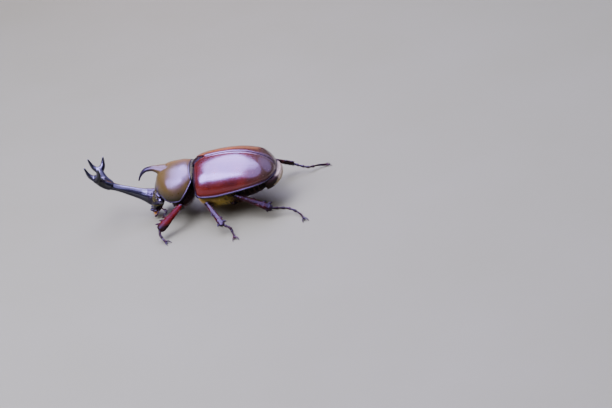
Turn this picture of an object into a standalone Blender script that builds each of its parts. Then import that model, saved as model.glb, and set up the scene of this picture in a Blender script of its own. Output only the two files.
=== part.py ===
"""Japanese rhinoceros beetle, adult male, standing on a level floor.

The head looks along -Y, the animal's left is +X and the floor is z = 0.
Every length below is in millimetres in the body frame, whose origin lies on
the midline under the front edge of the wing cases; MM turns it into metres.
"""
import math

import bmesh
import bpy
import numpy as np
from mathutils import Vector

MM = 0.001
BODY_Y = -3.2             # places the middle of the whole length at the origin
GAP = 0.3                 # seam between neighbouring plates

# ---------------------------------------------------------------- main sizes
MARGIN_Z = 10.6           # side margin of the wing cases above the floor
ELYTRA_LENGTH = 26.0
ELYTRA_HALF_WIDTH = 12.0
ELYTRA_RISE = 8.9         # dome above the margin
ELYTRA_WALL = 0.9
DOME_POWER = 2.2          # roundness of every dome's cross-section
BELLY_DROP = 6.4          # chest plate below the margin

NECK_Y, NECK_Z = -1.7, 17.4   # top of the pronotum's hind margin
NECK_PITCH = math.radians(12.0)
PRONOTUM_LENGTH = 13.7
PRONOTUM_HALF_WIDTH = 10.2

HEAD_HALF_WIDTH = 3.6
EYE, EYE_RADIUS = (3.75, -12.9, 6.9), 1.15
STEM_LENGTH = 14.6        # head horn from the brow to its fork, along -Y
STEM_PITCH = 0.45         # rise per millimetre forward
FRONT_TINE = (3.4, -35.2, 21.6)
REAR_TINE = (4.9, -30.5, 21.2)
NOTCH = (3.5, -32.5, 18.1)
THORN_TIP = (1.0, -19.1, 13.9)

# ---------------------------------------------------------------- materials
COLOURS = {
    "black_horn": ((0.012, 0.010, 0.012), 0.22),
    "black_shell": ((0.020, 0.013, 0.012), 0.34),
    "mahogany": ((0.140, 0.022, 0.014), 0.16),
    "bronze_brown": ((0.110, 0.052, 0.030), 0.24),
    "red_leg": ((0.170, 0.014, 0.010), 0.22),
    "dark_leg": ((0.045, 0.010, 0.010), 0.24),
    "eye_black": ((0.006, 0.006, 0.008), 0.08),
    "rust": ((0.300, 0.110, 0.025), 0.60),
}


def material(name):
    mat = bpy.data.materials.get(name)
    if mat is None:
        colour, roughness = COLOURS[name]
        mat = bpy.data.materials.new(name)
        mat.use_nodes = True
        shader = mat.node_tree.nodes["Principled BSDF"]
        shader.inputs["Base Color"].default_value = (*colour, 1.0)
        shader.inputs["Roughness"].default_value = roughness
        shader.inputs["Metallic"].default_value = 0.0
    return mat


def smooth(*knots):
    """Monotone cubic through (t, value) knots, flat beyond the ends."""
    t = np.array([k[0] for k in knots], float)
    v = np.array([k[1] for k in knots], float)
    step = np.diff(t)
    slope = np.diff(v) / step
    m = np.zeros(len(t))
    m[0], m[-1] = slope[0], slope[-1]
    for i in range(1, len(t) - 1):
        if slope[i - 1] * slope[i] > 0:
            w1 = 2 * step[i] + step[i - 1]
            w2 = step[i] + 2 * step[i - 1]
            m[i] = (w1 + w2) / (w1 / slope[i - 1] + w2 / slope[i])

    def value(x):
        x = min(max(x, t[0]), t[-1])
        i = min(int(np.searchsorted(t, x, side="right")) - 1, len(t) - 2)
        u = (x - t[i]) / step[i]
        return ((2 * u ** 3 - 3 * u ** 2 + 1) * v[i] + (u ** 3 - 2 * u ** 2 + u) * step[i] * m[i]
                + (3 * u ** 2 - 2 * u ** 3) * v[i + 1] + (u ** 3 - u ** 2) * step[i] * m[i + 1])
    return value


# ---------------------------------------------------------------- mesh tools
def new_object(name, bm, colour, sharp=40.0):
    bmesh.ops.recalc_face_normals(bm, faces=bm.faces)
    if bm.calc_volume(signed=True) < 0:
        bmesh.ops.reverse_faces(bm, faces=bm.faces)
    mesh = bpy.data.meshes.new(name)
    bm.to_mesh(mesh)
    bm.free()
    mesh.materials.append(material(colour))
    mesh.shade_smooth()
    mesh.set_sharp_from_angle(angle=math.radians(sharp))
    obj = bpy.data.objects.new(name, mesh)
    bpy.context.scene.collection.objects.link(obj)
    obj.parent = body
    return obj


def cap(bm, ring):
    """Close a ring of vertices on a fan round its centre."""
    centre = bm.verts.new(sum((v.co for v in ring), Vector()) / len(ring))
    for a, b in zip(ring, ring[1:] + ring[:1]):
        bm.faces.new((a, b, centre))


def ring_body(name, rings, colour, sharp=40.0):
    """Closed body through a row of rings that have the same number of points."""
    bm = bmesh.new()
    rows = [[bm.verts.new(Vector(p) * MM) for p in ring] for ring in rings]
    for low, high in zip(rows, rows[1:]):
        for i in range(len(low)):
            j = (i + 1) % len(low)
            bm.faces.new((low[i], low[j], high[j], high[i]))
    cap(bm, rows[0])
    cap(bm, rows[-1])
    return new_object(name, bm, colour, sharp)


def plate_body(name, outer, inner, colour, sharp=40.0):
    """Closed plate between two grids of points of the same size."""
    bm = bmesh.new()
    top = [[bm.verts.new(Vector(p) * MM) for p in row] for row in outer]
    under = [[bm.verts.new(Vector(p) * MM) for p in row] for row in inner]
    rows, cols = len(top), len(top[0])
    for grid in (top, under):
        for i in range(rows - 1):
            for j in range(cols - 1):
                bm.faces.new((grid[i][j], grid[i + 1][j], grid[i + 1][j + 1], grid[i][j + 1]))
    rim = [(i, 0) for i in range(rows)] + [(rows - 1, j) for j in range(1, cols)]
    rim += [(i, cols - 1) for i in range(rows - 2, -1, -1)] + [(0, j) for j in range(cols - 2, 0, -1)]
    for (a, b), (c, d) in zip(rim, rim[1:] + rim[:1]):
        bm.faces.new((top[a][b], top[c][d], under[c][d], under[a][b]))
    return new_object(name, bm, colour, sharp)


def tube_rings(path, radii, sides, up=(0.0, 0.0, 1.0)):
    """Elliptical rings along a path: radii are (across, along up) pairs."""
    path = [np.array(p, float) for p in path]
    lift = np.array(up, float)
    rings = []
    for i, centre in enumerate(path):
        ahead = path[min(i + 1, len(path) - 1)] - path[max(i - 1, 0)]
        ahead /= np.linalg.norm(ahead)
        across = np.cross(ahead, lift)
        across /= np.linalg.norm(across)
        lift = np.cross(across, ahead)
        a, b = radii[i]
        rings.append([centre + across * a * math.cos(w) + lift * b * math.sin(w)
                      for w in (2 * math.pi * k / sides for k in range(sides))])
    return rings


def curve_points(knots, count):
    """Points spread evenly along a smooth curve through a few 3-D knots."""
    knots = np.array(knots, float)
    run = np.concatenate([[0], np.cumsum(np.linalg.norm(np.diff(knots, axis=0), axis=1))])
    axes = [smooth(*zip(run, knots[:, k])) for k in range(3)]
    return [np.array([f(t) for f in axes]) for t in np.linspace(0, run[-1], count)]


def ball(name, centre, radii, colour, segments=12, rings=8, spin=(0, 0, 0)):
    bm = bmesh.new()
    bmesh.ops.create_uvsphere(bm, u_segments=segments, v_segments=rings, radius=1.0)
    obj = new_object(name, bm, colour, 180.0)
    for v in obj.data.vertices:
        v.co = Vector((v.co.x * radii[0], v.co.y * radii[1], v.co.z * radii[2])) * MM
    obj.location = Vector(centre) * MM
    obj.rotation_euler = [math.radians(a) for a in spin]
    return obj


def hide(obj):
    obj.hide_render = True
    obj.display_type = "WIRE"
    return obj


def grown(obj, amount=GAP):
    """Hidden copy of a body, swollen on all sides to keep a seam round it."""
    copy = obj.copy()
    copy.data = obj.data.copy()
    copy.modifiers.clear()
    copy.name = obj.name + "_seam"
    normals = [v.normal.copy() for v in copy.data.vertices]
    for v, normal in zip(copy.data.vertices, normals):
        v.co += normal * amount * MM * 1.15
    bpy.context.scene.collection.objects.link(copy)
    return hide(copy)


def combine(obj, other, operation):
    mod = obj.modifiers.new(operation.lower() + "_" + other.name, "BOOLEAN")
    mod.operation = operation
    mod.object = other
    mod.solver = "EXACT"


def seat(obj, neighbour, seam=GAP):
    """Trim obj where it would touch its neighbour, leaving the seam."""
    combine(obj, grown(neighbour, seam), "DIFFERENCE")


# ---------------------------------------------------------------- hind body
def elytra_width(y):
    if y < 13.0:
        return ELYTRA_HALF_WIDTH * (1 - 0.06 * (1 - y / 13.0) ** 2 - 0.12 * math.exp(-y / 1.2))
    t = min((y - 13.0) / (ELYTRA_LENGTH - 13.0), 1.0)
    return ELYTRA_HALF_WIDTH * (1 - t ** 3.0) ** (1 / 2.4)


margin_line = smooth((0, MARGIN_Z - 0.3), (1.5, MARGIN_Z - 0.8), (5, MARGIN_Z - 0.8), (12, MARGIN_Z),
                     (19, MARGIN_Z + 1.0), (24, MARGIN_Z + 1.4), (26, MARGIN_Z + 1.5))


def elytra_rise(y):
    """Height of the dome over its own side margin, which climbs to the rear."""
    full = MARGIN_Z + ELYTRA_RISE + 0.1 - margin_line(y)
    if y < 10.0:
        return full * (1 - 0.12 * (1 - y / 10.0) ** 2 - 0.05 * math.exp(-y / 0.8))
    t = min((y - 10.0) / (ELYTRA_LENGTH - 10.0), 1.0)
    return full * (1 - t ** 2.3) ** (1 / 1.7)


def dome_height(x, half_width, rise):
    ratio = min(abs(x) / half_width, 1.0)
    return rise * (1 - ratio ** DOME_POWER) ** (1 / DOME_POWER)


def shrink(depth):
    """Scale of the wing-case dome that lies a given depth under its surface."""
    return ((ELYTRA_HALF_WIDTH - depth) / ELYTRA_HALF_WIDTH,
            (ELYTRA_LENGTH - depth) / ELYTRA_LENGTH,
            (ELYTRA_RISE - depth) / ELYTRA_RISE)


SCUTELLUM_HALF, SCUTELLUM_LENGTH = 2.5, 3.4


def scutellum_half(y):
    return max(SCUTELLUM_HALF * (1 - max(y, 0.0) / SCUTELLUM_LENGTH), 0.0)


def elytron(side, name, stations=13, columns=9):
    grids = []
    for depth in (0.0, ELYTRA_WALL):
        sx, sy, sz = shrink(depth)
        grid = []
        for i in range(stations + 1):
            f = i / stations
            y = ELYTRA_LENGTH * 0.995 * (1 - (1 - f) ** 1.7)
            start = GAP / 2 + scutellum_half(y)
            wide, rise = elytra_width(y) * sx, elytra_rise(y) * sz
            row = []
            for j in range(columns + 1):
                s = math.sin(0.5 * math.pi * j / columns) ** (2 / DOME_POWER)
                x = start + (wide - start) * s
                row.append((side * x, y * sy, margin_line(y) + dome_height(x, wide, rise)))
            grid.append(row)
        grids.append(grid)
    return plate_body(name, grids[0], grids[1], "mahogany")


def scutellum():
    grids = []
    for depth in (0.0, 0.8):
        grid = []
        for i in range(6):
            y = -0.6 + (SCUTELLUM_LENGTH + 0.45) * i / 5
            half = max(scutellum_half(y) - 0.15, 0.16)
            rise = elytra_rise(max(y, 0.0)) - depth - (0.35 if y < 0 else 0.0)
            wide = elytra_width(max(y, 0.0))
            grid.append([(x, y, margin_line(y) + dome_height(x, wide, rise))
                         for x in (half * k / 3 for k in range(-3, 4))])
        grids.append(grid)
    return plate_body("scutellum", grids[0], grids[1], "black_shell")


belly_line = smooth((-0.7, 5.6), (3.0, 4.4), (9.0, MARGIN_Z - BELLY_DROP), (15.0, 4.4), (19.0, 5.2), (22.0, 6.4))


def trunk_ring(y, grow=0.0, count=24):
    """Section of the hind body: dome under the wing cases, bowl below."""
    sx, sy, sz = shrink(ELYTRA_WALL + GAP)
    t = min(max(y, 0.0) / sy, ELYTRA_LENGTH * 0.995)
    wide, rise = elytra_width(t) * sx, elytra_rise(t) * sz
    if y < 0.6:
        wide, rise = wide * (0.94 + 0.06 * y), rise * (0.95 + 0.04 * y)
    side = margin_line(t) - 0.3
    wide, drop = wide + grow, side - belly_line(y) + grow
    ring = []
    for k in range(count):
        w = 2 * math.pi * k / count
        c, s = math.cos(w), math.sin(w)
        x = wide * math.copysign(abs(c) ** (2 / DOME_POWER), c)
        z = (rise + 0.3) * abs(s) ** (2 / DOME_POWER) if s > 0 else -drop * abs(s) ** 1.4
        ring.append((x, y, side + z))
    return ring


RUMP_Y = 22.5
rump_half = smooth((6.2, 3.4), (7.0, 5.2), (8.2, 7.0), (9.6, 8.4), (10.8, 9.3), (11.5, 9.1))
rump_reach = smooth((6.2, 1.4), (7.0, 2.6), (8.2, 3.8), (9.6, 4.6), (10.8, 4.9), (11.5, 4.6))


def hind_body():
    rings = [trunk_ring(y) for y in (-0.6, 0.6, 3.5, 6.5, 9.5, 12.6)]
    collar = [(x, y - 0.75 * min(max((z - 13.8) / 2.9, 0.0), 1.0), z) for x, y, z in rings[0]]
    inset = [(x * 0.76, y, 11.0 + (z - 11.0) * 0.76) for x, y, z in rings[0]]
    ring_body("metathorax", [inset, collar] + rings[1:], "black_shell")
    ring_body("abdomen", [trunk_ring(y) for y in (12.9, 15.2, 17.4, 19.4, 21.0, 22.2)], "black_shell")
    seam = ring_body("trunk_seam", [trunk_ring(y, GAP) for y in (-1.0, 0.6, 3.5, 6.5, 9.5, 12.6, 15.2, 17.4,
                                                                19.4, 21.0, 22.4)], "black_shell")
    rings = []
    for z in (6.2, 7.0, 8.2, 9.6, 10.8, 11.5):
        wide, reach = rump_half(z), rump_reach(z)
        arc = [(wide * math.cos(w), RUMP_Y + reach * math.sin(w) ** 0.9, z)
               for w in (math.pi * k / 12 for k in range(13))]
        rings.append(arc + [(wide * f, RUMP_Y, z) for f in (-0.5, 0.0, 0.5)])
    ring_body("pygidium", rings, "bronze_brown")
    return hide(seam)


# ---------------------------------------------------------------- prothorax
def prothorax(x, s, h):
    """Point in the tilted frame of the prothorax: s forward, h above the neck."""
    c, n = math.cos(NECK_PITCH), math.sin(NECK_PITCH)
    return (x, NECK_Y - s * c - h * n, NECK_Z - s * n + h * c)


pronotum_width = smooth((0, 6.5), (0.6, 7.3), (1.6, 8.2), (3.0, 9.2), (6.0, PRONOTUM_HALF_WIDTH), (7.8, 9.9),
                        (9.8, 8.6), (11.6, 6.3), (12.7, 4.3), (PRONOTUM_LENGTH, 1.6))
pronotum_floor = smooth((0, -3.4), (0.8, -4.2), (3.0, -6.2), (5.8, -7.9), (7.8, -7.6), (9.9, -6.8),
                        (11.8, -5.0), (PRONOTUM_LENGTH, -3.5))
pronotum_top = smooth((0, -0.45), (0.5, 0.05), (3.3, 1.05), (7.6, 1.6), (9.4, 1.35), (11.0, 0.45),
                      (12.1, -0.8), (13.1, -2.3), (PRONOTUM_LENGTH, -3.1))


def pronotum(count=22):
    rings = []
    for s in (0, 0.5, 1.6, 3.2, 5.2, 7.2, 9.0, 10.6, 11.8, 12.7, 13.4, PRONOTUM_LENGTH):
        wide, floor, top = pronotum_width(s), pronotum_floor(s), pronotum_top(s)
        ring = []
        for k in range(count):
            w = 2 * math.pi * k / count
            c, n = math.cos(w), math.sin(w)
            x = wide * math.copysign(abs(c) ** (2 / DOME_POWER), c)
            h = floor + (top - floor) * abs(n) ** (2 / DOME_POWER) if n > 0 else floor - 0.12 * abs(n)
            ring.append(prothorax(x, s, h))
        rings.append(ring)
    return ring_body("pronotum", rings, "bronze_brown")


def prosternum(name, grow=0.0, count=18):
    base = smooth((1.4, -8.6), (3.2, -11.0), (6.4, -12.2), (9.0, -10.8), (11.0, -8.0))
    rings = []
    for s in (1.4, 2.3, 3.8, 5.6, 7.6, 9.6, 10.9):
        wide, floor = pronotum_width(s) * 0.74, pronotum_floor(s) - 0.45
        ring = []
        for k in range(count):
            w = 2 * math.pi * k / count
            c, n = math.cos(w), math.sin(w)
            drop = (floor - base(s)) * abs(n) ** 1.3 if n < 0 else 0.0
            ring.append(prothorax((wide + grow) * c, s, floor - drop - grow * abs(n) * (n < 0)))
        rings.append(ring)
    return ring_body(name, rings, "black_shell")


def pronotal_horn():
    """Short thorn over the head: runs forward, hooks down and splits in two."""
    knots = [(0, -10.2, 15.9), (0, -12.4, 16.6), (0, -14.3, 17.1), (0, -16.1, 17.05)]
    path = curve_points(knots, 8)
    reach = smooth((0, 2.6), (0.3, 1.95), (0.6, 1.3), (0.8, 1.05), (1, 0.85))
    thick = smooth((0, 2.0), (0.3, 1.5), (0.6, 1.0), (0.8, 0.82), (1, 0.62))
    radii = [(reach(k / 7), thick(k / 7)) for k in range(8)]
    thorn = ring_body("pronotal_horn", tube_rings(path, radii, 10), "black_horn", 60)
    for side in (-1, 1):
        x, y, z = THORN_TIP
        path = curve_points([(side * 0.32, -14.7, 17.02), (side * 0.36, -16.2, 16.93), (side * 0.5, -17.4, 16.3),
                             (side * 0.8, -18.5, 15.1), (side * x, y, z)], 8)
        radii = [(0.68 - 0.055 * k, 0.65 - 0.05 * k) for k in range(8)]
        tine = ring_body("thorn_tine", tube_rings(path, radii, 7, (0, 0, 1)), "black_horn", 60)
        combine(thorn, hide(tine), "UNION")
    return thorn


# ---------------------------------------------------------------- head
head_width = smooth((2.7, 1.9), (3.3, 2.3), (4.4, 2.7), (5.6, HEAD_HALF_WIDTH), (7.2, HEAD_HALF_WIDTH + 0.1),
                    (8.8, 3.0), (9.9, 1.7), (10.2, 1.0))
head_front = smooth((2.7, -16.7), (4.0, -16.6), (6.0, -16.3), (8.0, -15.9), (9.6, -14.9), (10.2, -14.2))
head_back = smooth((2.7, -15.5), (3.6, -14.6), (5.0, -12.4), (7.0, -11.4), (8.6, -11.8), (10.2, -12.9))


def head(count=16):
    rings = []
    for z in (2.7, 3.2, 4.0, 5.2, 6.6, 8.0, 9.2, 9.9, 10.2):
        wide, front, back = head_width(z), head_front(z), head_back(z)
        ring = []
        for k in range(count):
            w = 2 * math.pi * k / count
            c, n = math.cos(w), math.sin(w)
            ring.append((wide * math.copysign(abs(c) ** 0.85, c),
                         (front + back) / 2 + (back - front) / 2 * n, z))
        rings.append(ring)
    return ring_body("head", rings, "black_shell")


def horn_axis(d):
    """Centre of the horn's stem at a distance d in front of the brow."""
    return (0.0, -16.4 - d, 7.2 + STEM_PITCH * d + 0.0027 * max(d - 10.0, 0.0) ** 4)


def head_horn():
    wide = smooth((-2.5, 1.7), (-0.4, 2.3), (1.0, 2.1), (4.0, 1.55), (8.0, 1.3), (11.5, 1.45), (13.4, 1.9),
                  (STEM_LENGTH, 1.9))
    high = smooth((-2.5, 2.2), (-0.4, 2.9), (1.0, 2.45), (3.0, 1.9), (7.0, 1.45), (10.5, 1.12), (13.0, 1.3),
                  (STEM_LENGTH, 1.1))
    stations = (-2.0, -0.6, 0.8, 2.4, 4.4, 6.6, 9.0, 11.0, 12.8, 14.0, STEM_LENGTH)
    path = [horn_axis(d) for d in stations]
    horn = ring_body("head_horn", tube_rings(path, [(wide(d), high(d)) for d in stations], 12),
                     "black_horn", 60)
    root = horn_axis(STEM_LENGTH - 1.8)
    for side in (-1, 1):
        nx, ny, nz = NOTCH
        branch = curve_points([(side * 0.7, root[1], root[2]), (side * 1.5, root[1] - 1.6, root[2] + 1.4),
                               (side * 2.6, -32.0, 16.6), (side * nx, ny + 0.1, nz - 0.4)], 6)
        radii = [(1.35 - 0.03 * k, 1.45 - 0.03 * k) for k in range(6)]
        arm = ring_body("horn_branch", tube_rings(branch, radii, 8, (0, 1, 0.3)), "black_horn", 60)
        combine(horn, hide(arm), "UNION")
        for tip, bulge, base in ((FRONT_TINE, (0.1, -0.5, -0.4), 1.2), (REAR_TINE, (0.3, 0.35, -0.3), 1.4)):
            start = (side * (nx - 0.35), ny + 0.35, nz - 1.1)
            end = (side * tip[0], tip[1], tip[2])
            middle = [(a + b) / 2 for a, b in zip(start, end)]
            middle = (middle[0] + side * bulge[0], middle[1] + bulge[1], middle[2] + bulge[2])
            path = curve_points([start, middle, end], 5)
            radii = [(base - (base - 0.32) * k / 4, base - 0.1 - (base - 0.42) * k / 4) for k in range(5)]
            tine = ring_body("horn_tine", tube_rings(path, radii, 7, (0, 1, 0.3)), "black_horn", 60)
            combine(horn, hide(tine), "UNION")
    return horn


def antenna(side, name):
    """Elbowed feeler: long first joint, short stalk and a leaf-like club."""
    path = curve_points([(side * 3.35, -13.6, 4.3), (side * 4.6, -12.2, 4.0), (side * 5.3, -11.4, 3.7),
                         (side * 5.7, -11.8, 3.2), (side * 5.9, -12.2, 2.8), (side * 6.05, -12.9, 2.0)], 11)
    size = smooth((0, 0.42), (0.25, 0.28), (0.5, 0.30), (0.66, 0.30), (0.78, 0.55), (0.92, 0.6), (1, 0.34))
    flat = smooth((0, 0.42), (0.25, 0.28), (0.66, 0.30), (0.8, 0.36), (1, 0.26))
    radii = [(flat(k / 10), size(k / 10)) for k in range(11)]
    return ring_body(name, tube_rings(path, radii, 6, (0, 0.4, 1)), "dark_leg", 60)


def palp(side, name):
    path = curve_points([(side * 1.7, -14.6, 3.1), (side * 2.4, -14.9, 2.3), (side * 2.6, -15.4, 1.6),
                         (side * 2.5, -16.0, 1.2)], 6)
    radii = [(0.3, 0.3), (0.34, 0.34), (0.28, 0.28), (0.36, 0.36), (0.36, 0.36), (0.2, 0.2)]
    return ring_body(name, tube_rings(path, radii, 6, (1, 0, 0)), "dark_leg", 60)


def mouthparts():
    """Jaws and lower lip in one block behind the clypeus."""
    rings = []
    for z, wide, front, back in ((1.7, 0.9, -15.9, -14.9), (2.1, 1.3, -16.1, -14.3),
                                 (2.9, 1.5, -15.3, -13.6), (4.6, 1.6, -14.0, -12.6)):
        rings.append([(wide * math.cos(w), (front + back) / 2 + (back - front) / 2 * math.sin(w), z)
                      for w in (2 * math.pi * k / 9 for k in range(9))])
    return ring_body("mouthparts", rings, "rust")


# ---------------------------------------------------------------- legs
def along(a, b, t):
    return tuple(p + (q - p) * t for p, q in zip(a, b))


def femur(name, hip, knee, size):
    bulge = smooth((0, 0.62), (0.15, 0.86), (0.45, 1.0), (0.8, 0.78), (0.95, 0.66), (1, 0.5))
    stations = (0.0, 0.16, 0.42, 0.7, 0.9, 1.0)
    path = [along(hip, knee, t) for t in stations]
    radii = [(size * bulge(t), size * 0.62 * bulge(t)) for t in stations]
    return ring_body(name, tube_rings(path, radii, 8), "dark_leg", 60)


def tibia(name, knee, ankle, size, teeth, colour, outward):
    """Shin that widens to the foot, with teeth along its outer edge."""
    start = knee
    grow = smooth((0, 0.36), (0.08, 0.58), (0.5, 0.78), (0.88, 1.05), (1.0, 0.95))
    stations = [0.0, 0.08, 0.3, 0.5, 0.62, 0.7, 0.78, 0.87, 0.95, 1.0]
    path = [along(start, ankle, t) for t in stations]
    rings = tube_rings(path, [(size * grow(t), size * 0.66 * grow(t)) for t in stations], 8, outward)
    axis = np.array(ankle, float) - np.array(knee, float)
    length = np.linalg.norm(axis)
    axis /= length
    for t, ring in zip(stations, rings):
        centre = np.array(along(start, ankle, t))
        for place, rise, edge in teeth:
            lift = max(0.0, 1 - abs(t - place) / 0.06) * rise
            if lift > 0:
                rim = edge * 4
                out = ring[rim] - centre
                out /= np.linalg.norm(out)
                ring[rim] = ring[rim] + out * lift + axis * lift * 0.5
    return ring_body(name, rings, colour, 60)


def tarsus(name, path_knots, size):
    """Five-jointed foot: a bead for each joint, the last one longer."""
    joints = [0.0, 0.17, 0.32, 0.47, 0.62, 1.0]
    stations, radii = [], []
    for a, b in zip(joints, joints[1:]):
        stations += [a + 0.012, a + (b - a) * 0.8]
        radii += [size * 0.72, size * (1.12 if b < 1 else 1.0)]
    stations.append(1.0)
    radii.append(size * 0.7)
    fine = curve_points(path_knots, 60)
    path = [fine[round(t * 59)] for t in stations]
    return ring_body(name, tube_rings(path, [(r, r) for r in radii], 6), "dark_leg", 60)


def claws(name, root, heading, size=0.3, spread=0.95, reach=1.6):
    """Pair of hooked claws joined at their root, resting on the floor."""
    ahead = np.array((heading[0], heading[1], 0.0))
    ahead /= np.linalg.norm(ahead)
    across = np.array((-ahead[1], ahead[0], 0.0))
    base = np.array(root, float)
    path, radii = [], []
    for k in range(-4, 5):
        u = abs(k) / 4
        side = math.copysign(spread * math.sin(0.5 * math.pi * u) ** 0.8, k) if k else 0.0
        forward = reach * u ** 1.6
        drop = (base[2] - 0.17) * u ** 1.2
        path.append(base + across * side + ahead * forward - np.array((0, 0, drop)))
        radii.append((size * (1.15 - 0.25 * u),) * 2)
    obj = ring_body(name, tube_rings(path, radii, 5), "black_horn", 60)
    bm = bmesh.new()
    bm.from_mesh(obj.data)
    cut = bmesh.ops.bisect_plane(bm, geom=bm.verts[:] + bm.edges[:] + bm.faces[:], dist=1e-7,
                                 plane_co=(0, 0, 0), plane_no=(0, 0, 1), clear_inner=True)
    rim = [e for e in cut["geom_cut"] if isinstance(e, bmesh.types.BMEdge)]
    bmesh.ops.holes_fill(bm, edges=rim, sides=0)
    bmesh.ops.recalc_face_normals(bm, faces=bm.faces)
    bm.to_mesh(obj.data)
    bm.free()
    return obj


def leg(label, side, pose, sternum):
    names = {k: f"{label}_{k}" for k in ("coxa", "femur", "tibia", "tarsus", "claws")}
    coxa = ball(names["coxa"], pose["coxa"], pose["coxa_size"], "black_shell", 10, 7,
                (0, 0, pose.get("coxa_turn", 0) * side))
    thigh = femur(names["femur"], pose["hip"], pose["knee"], pose["femur"])
    shin = tibia(names["tibia"], pose["knee"], pose["ankle"], pose["tibia"], pose["teeth"],
                 pose["colour"], pose["outward"])
    foot = tarsus(names["tarsus"], [pose["ankle"]] + list(pose["foot"]), 0.46)
    last, before = pose["foot"][-1], pose["foot"][-2]
    hook = claws(names["claws"], last, (last[0] - before[0], last[1] - before[1]))
    for piece in (coxa, thigh):
        combine(piece, sternum, "DIFFERENCE")
    seat(thigh, coxa)
    seat(shin, thigh)
    seat(foot, shin)
    seat(foot, hook)


def mirrored(pose):
    """The same leg on the other side of the midline."""
    flip = dict(pose)
    for key in ("coxa", "hip", "knee", "ankle", "outward"):
        x, y, z = pose[key]
        flip[key] = (-x, y, z)
    flip["foot"] = [(-x, y, z) for x, y, z in pose["foot"]]
    flip["teeth"] = [(place, rise, 1 - edge) for place, rise, edge in pose["teeth"]]
    return flip


FORE = dict(coxa=(3.1, -7.5, 4.9), coxa_size=(2.2, 1.8, 1.9), hip=(4.2, -7.2, 4.1), knee=(11.9, -5.2, 8.2),
            ankle=(17.7, -11.9, 3.7), foot=[(19.1, -12.1, 2.9), (20.3, -11.3, 1.5), (20.9, -10.4, 0.62)],
            femur=1.6, tibia=1.35, colour="red_leg", outward=(0.35, 0.35, 0.8),
            teeth=[(0.62, 0.5, 0), (0.78, 0.8, 0), (0.95, 1.0, 0)])
MIDDLE = dict(coxa=(3.6, 4.2, 4.5), coxa_size=(2.3, 1.5, 1.4), coxa_turn=25, hip=(4.6, 4.2, 3.9),
              knee=(12.4, 3.4, 8.0), ankle=(19.4, 8.2, 3.4),
              foot=[(19.6, 10.3, 2.2), (22.3, 11.6, 0.9), (23.6, 12.0, 0.6)],
              femur=1.5, tibia=0.95, colour="dark_leg", outward=(0.3, -0.2, 0.9),
              teeth=[(0.5, 0.3, 0), (0.77, 0.3, 1), (0.95, 0.6, 0), (0.95, 0.7, 1)])
HIND = dict(coxa=(4.4, 11.2, 4.7), coxa_size=(3.8, 1.7, 1.2), hip=(4.4, 12.9, 3.8),
            knee=(11.0, 12.9, 8.9), ankle=(12.5, 23.4, 3.6),
            foot=[(10.9, 28.6, 2.0), (13.6, 32.4, 0.9), (16.6, 33.7, 0.6)],
            femur=1.7, tibia=1.05, colour="dark_leg", outward=(0.6, 0.1, 0.6),
            teeth=[(0.5, 0.3, 1), (0.8, 0.6, 1), (0.95, 1.0, 1), (0.95, 0.5, 0)])
FORE_RIGHT = dict(mirrored(FORE), ankle=(-18.2, -11.2, 3.7),
                  foot=[(-19.8, -11.6, 2.9), (-20.9, -10.9, 1.5), (-21.5, -10.1, 0.62)])
MIDDLE_RIGHT = dict(mirrored(MIDDLE), ankle=(-19.8, 6.6, 3.4),
                    foot=[(-20.6, 8.6, 2.2), (-22.6, 10.4, 0.9), (-23.7, 11.0, 0.6)])
HIND_RIGHT = dict(mirrored(HIND), knee=(-13.2, 18.7, 10.2), ankle=(-18.6, 28.9, 4.0),
                  foot=[(-18.0, 33.4, 2.3), (-20.6, 37.6, 1.2), (-21.6, 40.0, 0.6)])


def build():
    trunk_seam = hind_body()
    elytron(1, "elytron_left")
    elytron(-1, "elytron_right")
    scutellum()
    shield = pronotum()
    prosternum("prosternum")
    breast_seam = hide(prosternum("breast_seam", GAP))
    seat(pronotal_horn(), shield)
    skull = head()
    seat(head_horn(), skull)
    for side, word in ((1, "left"), (-1, "right")):
        eye = ball("eye_" + word, (side * EYE[0], EYE[1], EYE[2]), (EYE_RADIUS,) * 3, "eye_black", 10, 7)
        seat(skull, eye)
        seat(antenna(side, "antenna_" + word), skull)
        seat(palp(side, "palp_" + word), skull)
    seat(mouthparts(), skull)
    for label, side, pose, seam in (
            ("fore_left", 1, FORE, breast_seam), ("fore_right", -1, FORE_RIGHT, breast_seam),
            ("mid_left", 1, MIDDLE, trunk_seam), ("mid_right", -1, MIDDLE_RIGHT, trunk_seam),
            ("hind_left", 1, HIND, trunk_seam), ("hind_right", -1, HIND_RIGHT, trunk_seam)):
        leg(label, side, pose, seam)


for old in list(bpy.data.objects):
    bpy.data.objects.remove(old, do_unlink=True)
body = bpy.data.objects.new("beetle", None)
body.location = (0.0, BODY_Y * MM, 0.0)
bpy.context.scene.collection.objects.link(body)
build()
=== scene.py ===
"""Looks of an adult male Japanese rhinoceros beetle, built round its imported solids.

Lengths are in millimetres in the body frame of the solids: the head looks along -Y, the animal's
left is +X, the floor is z = 0, and y = 0 is the front edge of the wing cases, which is read from
their box. MM turns them into metres. Every piece rides on the one body, root.
"""
import math

import bmesh
import bpy
import numpy as np
from mathutils import Matrix, Quaternion, Vector, noise


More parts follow.
